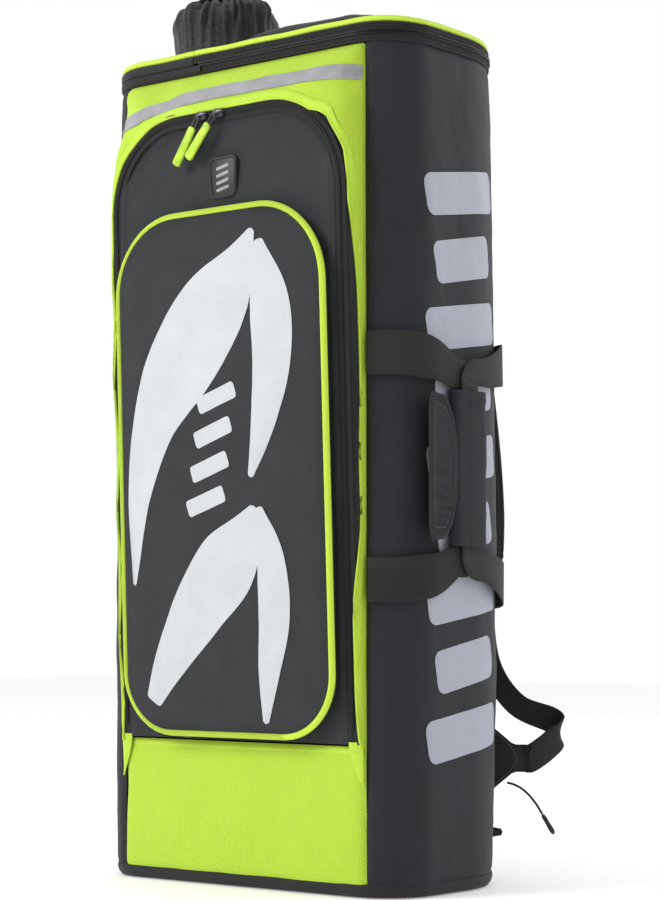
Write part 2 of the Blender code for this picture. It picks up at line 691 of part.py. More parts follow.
def build_organizer(hinge, space):
    """The raised pocket: a gusset on the flap, and a door whose skirt zips to the gusset."""
    outer, inner = organizer_line(0.0), organizer_line(-ORGANIZER_CLOTH)
    gusset = [out_of_flap(outer, GAP), out_of_flap(outer, ORGANIZER_SPLIT),
              out_of_flap(inner, ORGANIZER_SPLIT), out_of_flap(inner, GAP)]
    add("organizer_gusset", loft(gusset, closed_ends=False), BLACK, hinge, space=space)
    coil_out, coil_in = organizer_line(0.0012), organizer_line(GAP)
    coil = [out_of_flap(coil_out, ORGANIZER_SPLIT - 0.0026), out_of_flap(coil_out, ORGANIZER_SPLIT),
            out_of_flap(coil_in, ORGANIZER_SPLIT), out_of_flap(coil_in, ORGANIZER_SPLIT - 0.0026)]
    add("organizer_zip", loft(coil, closed_ends=False), ZIP, hinge, space=space)

    fold = ORGANIZER_HALF_WIDTH + 2 * ORGANIZER_PIPING_RADIUS
    axis = space @ Matrix.Translation((-fold, -ORGANIZER_SPLIT, 0))
    door = pivot("organizer_door_pivot", axis, hinge)
    roof = ORGANIZER_DEPTH - ORGANIZER_CLOTH
    low = ORGANIZER_SPLIT + GAP
    panel = [out_of_flap(outer, roof), out_of_flap(outer, ORGANIZER_DEPTH - 0.0012),
             out_of_flap(organizer_line(-0.0012), ORGANIZER_DEPTH)]
    add("organizer_door", loft(panel), BLACK, door, space=space)
    skirt = [out_of_flap(outer, low), out_of_flap(outer, roof - GAP),
             out_of_flap(inner, roof - GAP), out_of_flap(inner, low)]
    add("organizer_skirt", loft(skirt, closed_ends=False), BLACK, door, space=space)
    line = organizer_line(ORGANIZER_PIPING_RADIUS + GAP)
    height = ORGANIZER_DEPTH - ORGANIZER_PIPING_RADIUS
    bead("organizer_piping", [space @ Vector((x, -height, v)) for x, v in line], ORGANIZER_PIPING_RADIUS,
         LIME_PIPING, door, closed=True)

    foot = Matrix.Translation((-0.052, -(ORGANIZER_SPLIT / 2), ORGANIZER_BOTTOM - 0.0012))
    down = space @ foot @ Matrix.Rotation(math.pi, 4, "X")
    travel = pivot("organizer_slider_pivot", down, hinge)
    add("organizer_slider", block((0.010, 0.0050, 0.0030), (0, 0, 0.0015 + GAP), 0.0008), METAL, travel, space=down)


def build_front_details(hinge, space):
    badge = block((BADGE_WIDTH, BADGE_THICKNESS, BADGE_HEIGHT), (0, -BADGE_THICKNESS / 2 - GAP, BADGE_V), 0.0009)
    add("badge", badge, RUBBER, hinge, space=space)
    outward = Matrix.Rotation(HALF_TURN, 4, "X")
    pull_thickness = 0.0030
    for name, x, tilt in (("left", -0.0215, -0.60), ("right", -0.0015, -0.74)):
        place = space @ Matrix.Translation((x, 0.0005, FLAP_HEIGHT)) @ outward
        travel = pivot(f"front_slider_{name}_pivot", place, hinge)
        slider(f"front_slider_{name}", place, travel)
        zip_pull(f"front_pull_{name}", place, travel, 0.047, 0.0075, pull_thickness, LIME_PIPING, tilt)


def build_tape():
    """The reflective strip sewn across the surround over the arch."""
    rows_out, rows_in = [], []
    frame = bpy.data.objects["front_frame"]
    bands, count = 4, 2 * round(FRONT_SEAM_X / 0.0046)
    for i in range(bands + 1):
        z = TAPE_Z + TAPE_HEIGHT * (i / bands - 0.5)
        row_out, row_in = [], []
        for k in range(count + 1):
            x = FRONT_SEAM_X * 0.985 * (2 * k / count - 1)
            hit, place, _, _ = frame.ray_cast(Vector((x, -DEPTH, z)), Vector((0, 1, 0)))
            y = place.y if hit else front_plan(x)[1]
            row_in.append((x, y - TAPE_EASE, z))
            row_out.append((x, y - TAPE_EASE - TAPE_THICKNESS, z))
        rows_out.append(row_out)
        rows_in.append(row_in)
    add("reflective_tape", shell(rows_out, rows_in), SILVER)


# ---- side handle ---------------------------------------------------------------------------------
def handle_webbing(name, anchor_travel, anchor_z, off, parent):
    """One webbing loop: from an upper anchor to the grip, down through it, and to a lower anchor."""
    middle = travel_to_y(GRIP_Y)
    upper, lower = anchor_z
    half = GRIP_LENGTH / 2
    sweep = middle - anchor_travel
    top, foot = GRIP_Z + half, GRIP_Z - half
    stations = [(0.0, upper, 0.0), (0.30, upper, 0.15), (0.55, upper - 0.004, 0.55),
                (0.80, upper - 0.014, 0.9), (0.95, (upper + top) / 2, 1.0), (1.0, top + 0.010, 1.0),
                (1.0, top + 0.002, 1.0), (1.0, GRIP_Z + half * 0.5, 1.0), (1.0, GRIP_Z, 1.0),
                (1.0, GRIP_Z - half * 0.5, 1.0), (1.0, foot - 0.002, 1.0), (1.0, foot - 0.010, 1.0),
                (0.95, (lower + foot) / 2, 1.0), (0.80, lower + 0.014, 0.9),
                (0.55, lower + 0.004, 0.55), (0.30, lower, 0.15), (0.0, lower, 0.0)]
    low_off = 2 * GAP + WEBBING_THICKNESS / 2
    route = smooth_path([(anchor_travel + sweep * s, z, low_off + (off - low_off) * lift)
                         for s, z, lift in stations], 4)
    centres, across, widths = [], [], []
    for i, (travel, z, lift) in enumerate(route):
        near = min(max(((travel - anchor_travel) / sweep - 0.5) / 0.4, 0), 1)
        widths.append(WEBBING * (1 - near) + WEBBING_GATHERED * near)
        point, normal = wall_point(1, travel, lift)
        centres.append(Vector((point.x, point.y, z)))
        ahead, behind = route[min(i + 1, len(route) - 1)], route[max(i - 1, 0)]
        spot_a, _ = wall_point(1, ahead[0], ahead[2])
        spot_b, _ = wall_point(1, behind[0], behind[2])
        along = Vector((spot_a.x - spot_b.x, spot_a.y - spot_b.y, ahead[1] - behind[1]))
        across.append(normal.cross(along))
    count = len(centres)
    bm = ribbon(centres, widths, even(WEBBING_THICKNESS, count), across)
    return add(name, bm, STRAPPING, parent)


def build_handle():
    carry = pivot("handle_pivot", Matrix.Translation((WIDTH / 2, GRIP_Y, GRIP_Z)))
    inner_off, outer_off = GRIP_STAND_OFF - WEBBING_STEP / 2, GRIP_STAND_OFF + WEBBING_STEP / 2
    front_ends, rear_ends = (GRIP_Z + 0.096, GRIP_Z - 0.0955), (GRIP_Z + 0.100, GRIP_Z - 0.100)
    handle_webbing("handle_webbing_front", 0.003, front_ends, inner_off, carry)
    handle_webbing("handle_webbing_rear", WALL_TRAVEL - 0.004, rear_ends, outer_off, carry)
    x0 = WIDTH / 2 + GRIP_STAND_OFF - GRIP_THICKNESS / 2
    half_w, half_t = GRIP_WIDTH / 2, GRIP_THICKNESS / 2
    outer = rounded(half_t, -half_w, half_w, 0.0035, 0.0035, 0.0, 3)
    inner = rounded(half_t, -half_w, half_w, 0.0035, 0.0035, -GRIP_CLOTH, 3)
    z0, z1 = GRIP_Z - GRIP_LENGTH / 2, GRIP_Z + GRIP_LENGTH / 2
    spot = Matrix.Translation((x0 + half_t, GRIP_Y, 0))
    add("handle_grip", ring(outer, inner, z0, z1), WRAP, carry, space=spot)
    edge_y = GRIP_Y - half_w - GAP
    edge_x = x0 + GRIP_THICKNESS - LEAF_THICKNESS / 2
    fold = pivot("grip_leaf_pivot", Matrix.Translation((edge_x + LEAF_THICKNESS, edge_y, GRIP_Z)), carry)
    leaf = rounded(LEAF_WIDTH / 2, -GRIP_LENGTH / 2 + 0.004, GRIP_LENGTH / 2 - 0.006, 0.014, 0.014, 0.0, 6)
    y_mid = edge_y - LEAF_WIDTH / 2 - 0.001
    faces = [[(edge_x + w, y_mid + u, GRIP_Z + v) for u, v in leaf]
             for w in (-LEAF_THICKNESS / 2, LEAF_THICKNESS / 2)]
    add("grip_leaf", loft(faces), WRAP, fold)


# ---- back harness --------------------------------------------------------------------------------
def build_back_pad():
    y = DEPTH / 2 + GAP + BACK_PAD_THICKNESS / 2
    size = (BACK_PAD_WIDTH, BACK_PAD_THICKNESS, BACK_PAD_TOP - BACK_PAD_BOTTOM)
    add("back_pad", block(size, (0, y, (BACK_PAD_TOP + BACK_PAD_BOTTOM) / 2), 0.004), PAD)


def build_haul_loop():
    z = HAUL_LOOP_Z
    hinge = pivot("haul_loop_pivot", Matrix.Translation((0, DEPTH / 2, z + 0.011)))
    y = DEPTH / 2 + 2 * GAP + WEBBING_THICKNESS / 2
    route = [(-0.040, y, z), (-0.030, y + 0.003, z - 0.001), (-0.021, y + 0.016, z - 0.003),
             (0.0, y + 0.022, z - 0.004), (0.021, y + 0.016, z - 0.003), (0.030, y + 0.003, z - 0.001),
             (0.040, y, z)]
    centres = smooth_path(route, 4)
    count = len(centres)
    bm = ribbon(centres, even(0.022, count), even(WEBBING_THICKNESS, count), even(Vector((0, 0, 1)), count))
    add("haul_loop", bm, STRAPPING, hinge)


def strap_line(side):
    base = DEPTH / 2 + BACK_PAD_THICKNESS
    lift = STRAP_THICKNESS / 2 + 0.004
    line = [(0.0, 0.0, 0.012), (0.004, 0.010, 0.060), (0.014, 0.020, 0.140), (0.028, 0.022, 0.230),
            (0.041, 0.018, 0.315), (0.046, 0.013, 0.380)]
    stretch = (STRAP_ROOT_Z - STRAP_END_Z) / line[-1][2]
    return [(side * (STRAP_ROOT_X + out), base + lift + away, STRAP_ROOT_Z - drop * stretch) for out, away, drop in line]


def anchor_frame(side):
    """The point on the back seam where an anchor is sewn, and the way it reaches."""
    x, y = back_corner(1, 0.0, BACK_SEAM_ANGLE, BACK_SEAM_ANGLE, 1)[0]
    outward = Vector((side * 0.885, 0.465, 0)).normalized()
    return Vector((side * x, y, 0)) + outward * 0.003, outward


def wedge(points, thickness, normal):
    """A flat fabric piece on an outline, as thick as given along its normal."""
    shift = normal * (thickness / 2)
    return loft([[p - shift for p in points], [p + shift for p in points]])


def build_strap(side, name):
    hinge = pivot(f"strap_{name}_pivot", Matrix.Translation((side * STRAP_ROOT_X, DEPTH / 2 + 0.010, STRAP_ROOT_Z)))
    centres = smooth_path(strap_line(side), 6)
    count = len(centres)
    widths = [0.060 - 0.014 * (i / (count - 1)) ** 2 for i in range(count)]
    bm = ribbon(centres, widths, even(STRAP_THICKNESS, count), even(Vector((1, 0, 0)), count))
    add(f"shoulder_strap_{name}", bm, PAD, hinge)
    end = centres[-1]
    lock = block((0.034, 0.006, 0.026), (end.x, end.y, end.z - 0.0150), 0.0015)
    add(f"ladder_lock_{name}", lock, PLASTIC, hinge)

    base, outward = anchor_frame(side)
    normal = outward.cross(Vector((0, 0, 1)))
    tip = 0.010
    corners = [base + Vector((0, 0, ANCHOR_Z - ANCHOR_BASE / 2)), base + outward * ANCHOR_REACH
               + Vector((0, 0, ANCHOR_Z - tip)), base + outward * ANCHOR_REACH + Vector((0, 0, ANCHOR_Z + tip)),
               base + Vector((0, 0, ANCHOR_Z + ANCHOR_BASE / 2))]
    add(f"strap_anchor_{name}", wedge(corners, ANCHOR_THICKNESS, normal), STRAPPING)

    apex = base + outward * (ANCHOR_REACH + 0.0025) + Vector((0, 0, ANCHOR_Z))
    lock_end = Vector((end.x, end.y, end.z - 0.0320))
    out, back = BACK_SEAM_X + 0.023, DEPTH / 2 + 0.045
    route = [apex, apex + outward * 0.005, apex + Vector((side * 0.013, 0.016, 0.010)),
             apex + Vector((side * 0.017, 0.030, 0.022)), apex + Vector((side * 0.006, 0.036, 0.033)),
             Vector((side * out, back, ANCHOR_Z + 0.048)),
             Vector((side * out * 0.25 + end.x * 0.75, back - 0.010, ANCHOR_Z + 0.085)), lock_end]
    centres = smooth_path(route, 5)
    count = len(centres)
    across = []
    for i in range(count):
        turn = min(max((i / (count - 1) - 0.45) / 0.4, 0), 1)
        across.append(Vector((side * turn, 0, 1 - turn)))
    bm = ribbon(centres, even(HARNESS_WEBBING, count), even(WEBBING_THICKNESS, count), across)
    add(f"strap_webbing_{name}", bm, STRAPPING)


def build_lashing():
    """The folded tab and the short pull cord low on the right back seam."""
    base, outward = anchor_frame(1)
    normal = outward.cross(Vector((0, 0, 1)))
    z = 0.040
    corners = [base + Vector((0, 0, z - 0.008)), base + outward * 0.030 + Vector((0, 0, z - 0.003)),
               base + outward * 0.030 + Vector((0, 0, z + 0.003)), base + Vector((0, 0, z + 0.008))]
    add("lashing_tab", wedge(corners, 0.003, normal), STRAPPING)
    start = base + outward * 0.036 + normal * 0.0035 + Vector((0, 0, ANCHOR_Z - 0.022))
    drops = [(0.0, 0.0), (0.006, -0.0015), (0.013, -0.005), (0.020, -0.011), (0.0265, -0.019), (0.032, -0.028)]
    route = smooth_path([start + outward * reach + Vector((0, 0, drop)) for reach, drop in drops], 4)
    bead("pull_cord", route, PULL_CORD_DIAMETER / 2, CORD)
    along = (route[-1] - route[-2]).normalized()
    turn = Vector((0, 0, -1)).rotation_difference(along).to_matrix().to_4x4()
    spot = Matrix.Translation(route[-1] + along * (0.010 + GAP)) @ turn
    add("cord_pull", block((0.0045, 0.0045, 0.020), (0, 0, 0), 0.0012), PLASTIC, space=spot)


def main():
    clear_scene()
    build_base()
    build_walls()
    build_boards()
    build_rim()
    build_deck()
    build_collar()
    build_lid()
    build_lid_zip()
    build_front_frame()
    hinge, space = build_flap()
    build_organizer(hinge, space)
    build_front_details(hinge, space)
    build_tape()
    build_handle()
    build_back_pad()
    build_haul_loop()
    for side, name in ((1, "right"), (-1, "left")):
        build_strap(side, name)
    build_lashing()


main()
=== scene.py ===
"""Looks of the racket tournament bag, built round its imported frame.

Metres, +Z up, front towards -Y, carry handle on +X, as in the frame. Every visible fabric piece is a
modelled skin with its own seams, and each soft CAD solid is stood for by one of them.
"""

import math

import bmesh
import bpy
import numpy as np
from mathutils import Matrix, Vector
from mathutils.bvhtree import BVHTree


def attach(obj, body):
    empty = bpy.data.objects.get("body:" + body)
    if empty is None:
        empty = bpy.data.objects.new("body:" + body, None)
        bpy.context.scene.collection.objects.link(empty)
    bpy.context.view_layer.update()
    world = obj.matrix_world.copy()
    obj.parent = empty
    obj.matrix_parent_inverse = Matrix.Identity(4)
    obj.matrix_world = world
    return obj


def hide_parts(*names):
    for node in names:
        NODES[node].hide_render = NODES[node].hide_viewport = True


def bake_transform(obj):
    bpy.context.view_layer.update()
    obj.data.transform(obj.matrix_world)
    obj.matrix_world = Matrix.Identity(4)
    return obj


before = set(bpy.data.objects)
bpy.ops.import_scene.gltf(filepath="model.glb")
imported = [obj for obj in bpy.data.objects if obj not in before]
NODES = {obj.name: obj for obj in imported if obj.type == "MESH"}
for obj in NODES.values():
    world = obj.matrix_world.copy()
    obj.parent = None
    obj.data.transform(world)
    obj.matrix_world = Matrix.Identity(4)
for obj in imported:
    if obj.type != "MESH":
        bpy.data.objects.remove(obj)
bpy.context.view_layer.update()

# ---- sizes of the frame, metres ------------------------------------------------------------------
WIDTH, DEPTH, WALL_TOP = 0.350, 0.210, 0.744
FRONT_RADIUS, BACK_RADIUS = 0.050, 0.110
BASE_HEIGHT, BAND_HEIGHT = 0.011, 0.017
BAND_BOTTOM = WALL_TOP - BAND_HEIGHT
SPLIT_Z = WALL_TOP - BAND_HEIGHT / 2
LID_EDGE_Z, LID_CROWN, LID_X, LID_FOLD = 0.748, 0.012, -0.057, 0.004
COLLAR_X, COLLAR_RADIUS = -0.109, 0.048
FLAP_BOTTOM, FLAP_HALF, FLAP_HEIGHT, FLAP_RADIUS = 0.124, 0.131, 0.556, 0.078
TILT = math.atan2(0.022, FLAP_HEIGHT)
FLAP_Y = -(DEPTH / 2 + 0.003)
ORG_HALF, ORG_LOW, ORG_TOP, ORG_R_TOP, ORG_R_LOW = 0.117, 0.012, 0.466, 0.068, 0.052
ORG_DEPTH = 0.014
TAPE_Z = BAND_BOTTOM - 0.0280
GRIP_Z, GRIP_Y, GRIP_LENGTH, GRIP_OFF = 0.362, -0.021, 0.134, 0.0115
SEAM_GAP = 0.0003
SEAM_TURN, BACK_SEAM = math.asin(0.3), 0.030
SEAM_F = WIDTH / 2 - FRONT_RADIUS + FRONT_RADIUS * SEAM_TURN
SEAM_B = (WIDTH / 2 - FRONT_RADIUS + FRONT_RADIUS * math.pi / 2 + DEPTH - FRONT_RADIUS - BACK_RADIUS
          + BACK_RADIUS * (math.pi / 2 - math.asin(BACK_SEAM / BACK_RADIUS)))
FRONT_SEAM = (0.140, FRONT_RADIUS - DEPTH / 2 - FRONT_RADIUS * math.cos(SEAM_TURN))
SIDE_BULGE, GRIP_SHIFT = 0.005, 0.2
CLOTH = 0.0014
TAU = 2 * math.pi


# ---- mesh building -------------------------------------------------------------------------------
def grid_faces(rows, cols, wrap_rows=False, wrap_cols=False, start=0, flip=False):
    out = []
    for i in range(rows if wrap_rows else rows - 1):
        a, b = start + i * cols, start + ((i + 1) % rows) * cols
        for j in range(cols if wrap_cols else cols - 1):
            k = (j + 1) % cols
            face = (a + j, a + k, b + k, b + j)
            out.append(face[::-1] if flip else face)
    return out


def squarish(angle, x_power, y_power):
    """Points round a circle of radius 1, pushed out towards a square as the powers go down."""
    cos, sin = np.cos(angle), np.sin(angle)
    return np.sign(cos) * np.abs(cos) ** x_power, np.sign(sin) * np.abs(sin) ** y_power


def lengths(P, axis):
    """Distance along a grid's rows or columns, for its UVs in metres."""
    d = np.linalg.norm(np.diff(P, axis=axis), axis=2)
    d = np.cumsum(d, axis=axis)
    return np.concatenate([np.zeros_like(d[:1] if axis == 0 else d[:, :1]), d], axis=axis)


def flat_uv(P):
    return np.stack([lengths(P, 1), lengths(P, 0)], axis=2).reshape(-1, 2)


def g_skin(P, thick, away, wrap=False, uv=None):
    """A sheet of cloth over a grid of points, its thickness on the side nearer to away."""
    rows, cols = P.shape[:2]
    du = np.roll(P, -1, 1) - np.roll(P, 1, 1) if wrap else np.gradient(P, axis=1)
    n = np.cross(du, np.gradient(P, axis=0))
    n /= np.maximum(np.linalg.norm(n, axis=2, keepdims=True), 1e-12)
    if np.sum(n * (P - np.asarray(away))) < 0:
        n = -n
    V = np.concatenate([P.reshape(-1, 3), (P - n * thick).reshape(-1, 3)])
    size = rows * cols
    F = grid_faces(rows, cols, False, wrap) + grid_faces(rows, cols, False, wrap, size, True)
    edges = [[(0, j) for j in range(cols)], [(rows - 1, j) for j in range(cols)]]
    if wrap:
        edges = [e + [e[0]] for e in edges]
    else:
        edges += [[(i, 0) for i in range(rows)], [(i, cols - 1) for i in range(rows)]]
    for edge in edges:
        for (i, j), (k, m) in zip(edge, edge[1:]):
            a, b = i * cols + j, k * cols + m
            F.append((a, b, b + size, a + size))
    U = flat_uv(P) if uv is None else np.asarray(uv).reshape(-1, 2)
    return V, F, np.concatenate([U, U])


def g_loft(P, closed=False):
    """A solid through rings of points, each ring closed."""
    rows, cols = P.shape[:2]
    F = grid_faces(rows, cols, closed, True)
    if not closed:
        F += [tuple(range(cols))[::-1], tuple(range((rows - 1) * cols, rows * cols))]
    return P.reshape(-1, 3), F, flat_uv(P)


def path_frames(path, closed, up=(0, 0, 1)):
    """Directions along a path, and two across it that do not spin."""
    path = np.asarray(path, float)
    if closed:
        t = np.roll(path, -1, 0) - np.roll(path, 1, 0)
    else:
        t = np.gradient(path, axis=0)
    t /= np.linalg.norm(t, axis=1, keepdims=True)
    side = np.cross(np.broadcast_to(np.asarray(up, float), t.shape), t)
    weak = np.linalg.norm(side, axis=1) < 1e-3
    side[weak] = np.cross((0.31, 0.95, 0.05), t[weak])
    side /= np.linalg.norm(side, axis=1, keepdims=True)
    return path, t, side, np.cross(t, side)


def g_tube(path, radius, closed=False, sides=10, up=(0, 0, 1), ribs=0.0):
    path, _, a, b = path_frames(path, closed, up)
    k = np.arange(sides) * TAU / sides
    r = np.broadcast_to(radius, (len(path),)) + ribs * np.sin(np.arange(len(path)) * 2.1)
    P = path[:, None] + r[:, None, None] * (np.cos(k)[None, :, None] * a[:, None]
                                            + np.sin(k)[None, :, None] * b[:, None])
    return g_loft(P, closed)


def g_ribbon(path, across, widths, thick):
    """A flat webbing with soft edges; across is the direction of its width at each point."""
    path = np.asarray(path, float)
    t = np.gradient(path, axis=0)
    t /= np.linalg.norm(t, axis=1, keepdims=True)
    a = np.asarray(across, float) - t * np.sum(np.asarray(across) * t, axis=1, keepdims=True)
    a /= np.linalg.norm(a, axis=1, keepdims=True)
    n = np.cross(t, a)
    w = np.broadcast_to(widths, (len(path),))[:, None, None] / 2
    shape = [(-1, 0), (-0.985, 0.6), (-0.95, 1), (-0.5, 1), (0, 1), (0.5, 1), (0.95, 1), (0.985, 0.6),
             (1, 0),
             (0.985, -0.6), (0.95, -1), (0.5, -1), (0, -1), (-0.5, -1), (-0.95, -1), (-0.985, -0.6)]
    shape = np.array(shape)
    P = path[:, None] + a[:, None] * shape[None, :, :1] * w + n[:, None] * shape[None, :, 1:] * thick / 2
    return g_loft(P)


def g_boxes(centres, axes, sizes):
    """Many small boxes; axes holds three directions for each."""
    corners = np.array([(x, y, z) for x in (-1, 1) for y in (-1, 1) for z in (-1, 1)]) / 2
    V, F = [], []
    faces = [(0, 1, 3, 2), (4, 6, 7, 5), (0, 4, 5, 1), (2, 3, 7, 6), (0, 2, 6, 4), (1, 5, 7, 3)]
    for i, (c, (x, y, z)) in enumerate(zip(centres, axes)):
        size = sizes[i] if np.ndim(sizes) > 1 else sizes
        p = corners * size
        V.append(np.asarray(c) + p[:, :1] * x + p[:, 1:2] * y + p[:, 2:] * z)
        F += [tuple(8 * i + k for k in face) for face in faces]
    V = np.concatenate(V)
    return V, F, V[:, [0, 2]]


def walk(path, step, closed=False):
    """Points at even steps along a path, and the direction at each."""
    path = np.asarray(path, float)
    if closed:
        path = np.concatenate([path, path[:1]])
    s = np.concatenate([[0], np.cumsum(np.linalg.norm(np.diff(path, axis=0), axis=1))])
    at = np.arange(step / 2, s[-1], step)
    spots = np.stack([np.interp(at, s, path[:, k]) for k in range(path.shape[1])], axis=1)
    ahead = np.stack([np.interp(at + step * 0.4, s, path[:, k]) for k in range(path.shape[1])], axis=1)
    behind = np.stack([np.interp(at - step * 0.4, s, path[:, k]) for k in range(path.shape[1])], axis=1)
    t = ahead - behind
    return spots, t / np.maximum(np.linalg.norm(t, axis=1, keepdims=True), 1e-12)


def g_stitches(path, outward, pitch=0.0032, length=0.0022, radius=0.0004, closed=False):
    """A run of thread stitches lying on a surface."""
    spots, t = walk(path, pitch, closed)
    out = np.broadcast_to(np.asarray(outward, float),
                          (len(path), 3)) if np.ndim(outward) == 1 else np.asarray(outward)
    near = np.argmin(np.linalg.norm(np.asarray(path)[None] - spots[:, None], axis=2), axis=1)
    n = out[near]
    b = np.cross(t, n)
    b /= np.linalg.norm(b, axis=1, keepdims=True)
    V = np.stack([spots - t * length / 2, spots + t * length / 2, spots - b * radius, spots + b * radius,
                  spots - n * radius, spots + n * radius], axis=1)
    tri = [(0, 2, 5), (0, 5, 3), (0, 3, 4), (0, 4, 2), (1, 5, 2), (1, 3, 5), (1, 4, 3), (1, 2, 4)]
    F = [tuple(6 * i + k for k in f) for i in range(len(spots)) for f in tri]
    V = V.reshape(-1, 3)
    return V, F, V[:, [0, 2]]


def make(name, parts, look, body=None, replaces=(), sharp=50):
    """One object from mesh parts, riding on its body."""
    V, F, U, start = [], [], [], 0
    for v, f, u in parts:
        V.append(v)
        U.append(u)
        F += [tuple(start + k for k in face) for face in f]
        start += len(v)
    mesh = bpy.data.meshes.new(name)
    mesh.from_pydata(np.concatenate(V).tolist(), [], F)
    layer = mesh.uv_layers.new(name="UVMap")
    index = np.empty(len(mesh.loops), np.int32)
    mesh.loops.foreach_get("vertex_index", index)
    layer.data.foreach_set("uv", np.concatenate(U).astype(np.float32)[index].ravel())
    bm = bmesh.new()
    bm.from_mesh(mesh)
    bmesh.ops.recalc_face_normals(bm, faces=bm.faces)
    bm.to_mesh(mesh)
    bm.free()
    mesh.materials.append(look)
    mesh.shade_smooth()
    mesh.set_sharp_from_angle(angle=math.radians(sharp))
    obj = bpy.data.objects.new(name, mesh)
    bpy.context.scene.collection.objects.link(obj)
    if body:
        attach(obj, body)
    if replaces:
        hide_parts(*replaces)
    return obj


def ripple(P, size, seed, octaves=3):
    """A smooth random field over points, roughly from -1 to 1."""
    rng = np.random.default_rng(seed)
    total, weight = 0.0, 0.0
    for octave in range(octaves):
        wave = TAU / (size / 2 ** octave)
        for _ in range(5):
            d, e = rng.normal(size=3), rng.normal(size=3)
            d, e = d / np.linalg.norm(d), e / np.linalg.norm(e)
            total = total + np.sin(P @ d * wave + rng.uniform(0, TAU)
                                   + 1.4 * np.sin(P @ e * wave * 0.6)) / 2 ** octave
        weight += 5 / 2 ** octave
    return total * 2.0 / weight


def smooth_path(points, steps):
    """Points on a Catmull-Rom curve through the given ones."""
    p = np.asarray(points, float)
    p = np.concatenate([[2 * p[0] - p[1]], p, [2 * p[-1] - p[-2]]])
    out = []
    for a, b, c, d in zip(p, p[1:], p[2:], p[3:]):
        for k in range(steps):
            t = k / steps
            out.append(0.5 * (2 * b + (c - a) * t + (2 * a - 5 * b + 4 * c - d) * t * t
                              + (3 * b - a - 3 * c + d) * t ** 3))
    out.append(p[-2])
    return np.array(out)


# ---- plan of the bag -----------------------------------------------------------------------------
def plan_table():
    """The right half of the outline from the middle of the front to the middle of the back."""
    fr, br, w, d = FRONT_RADIUS, BACK_RADIUS, WIDTH / 2, DEPTH / 2
    rows = [(t * (w - fr), -d, 0, -1) for t in np.linspace(0, 1, 40)]
    rows += [(w - fr + fr * math.sin(a), fr - d - fr * math.cos(a), math.sin(a), -math.cos(a))
             for a in np.linspace(0, math.pi / 2, 60)[1:]]
    rows += [(w, y, 1, 0) for y in np.linspace(fr - d, d - br, 30)[1:]]
    rows += [(w - br + br * math.sin(a), d - br + br * math.cos(a), math.sin(a), math.cos(a))
             for a in np.linspace(math.pi / 2, 0, 90)[1:]]
    rows += [(x, d, 0, 1) for x in np.linspace(w - br, 0, 40)[1:]]
    rows = np.array(rows)
    return np.concatenate([[0], np.cumsum(np.linalg.norm(np.diff(rows[:, :2], axis=0), axis=1))]), rows


PLAN_S, PLAN = plan_table()
HALF = PLAN_S[-1]


def plan_at(s):
    """Outline points and normals at distances round the bag from the middle of its front."""
    s = (np.asarray(s, float) + HALF) % (2 * HALF) - HALF
    sign = np.where(s < 0, -1.0, 1.0)
    x, y, nx, ny = (np.interp(np.abs(s), PLAN_S, PLAN[:, k]) for k in range(4))
    return x * sign, y, nx * sign, ny


def bulge(s, z):
    """How far the stuffed side walls stand out of the plan."""
    a = np.abs((np.asarray(s, float) + HALF) % (2 * HALF) - HALF)
    across = np.clip((a - SEAM_F) / (SEAM_B - SEAM_F), 0, 1)
    high = np.clip((z - BASE_HEIGHT) / (BAND_BOTTOM - BASE_HEIGHT), 0, 1)
    return SIDE_BULGE * np.sin(math.pi * across) ** 0.6 * np.sin(math.pi * high) ** 0.7


def wall_points(s, z, off):
    x, y, nx, ny = plan_at(s)
    return np.stack([x + nx * off, y + ny * off, z + 0 * x], axis=-1)


def outline_band(profile, s, closed=False):
    """A closed profile of (off, z) points swept round the outline."""
    s = np.asarray(s, float)
    x, y, nx, ny = plan_at(s)
    off, z = np.array(profile).T
    P = np.stack([x[:, None] + nx[:, None] * off, y[:, None] + ny[:, None] * off,
                  np.broadcast_to(z, (len(s), len(z)))], axis=2)
    return g_loft(P, closed)


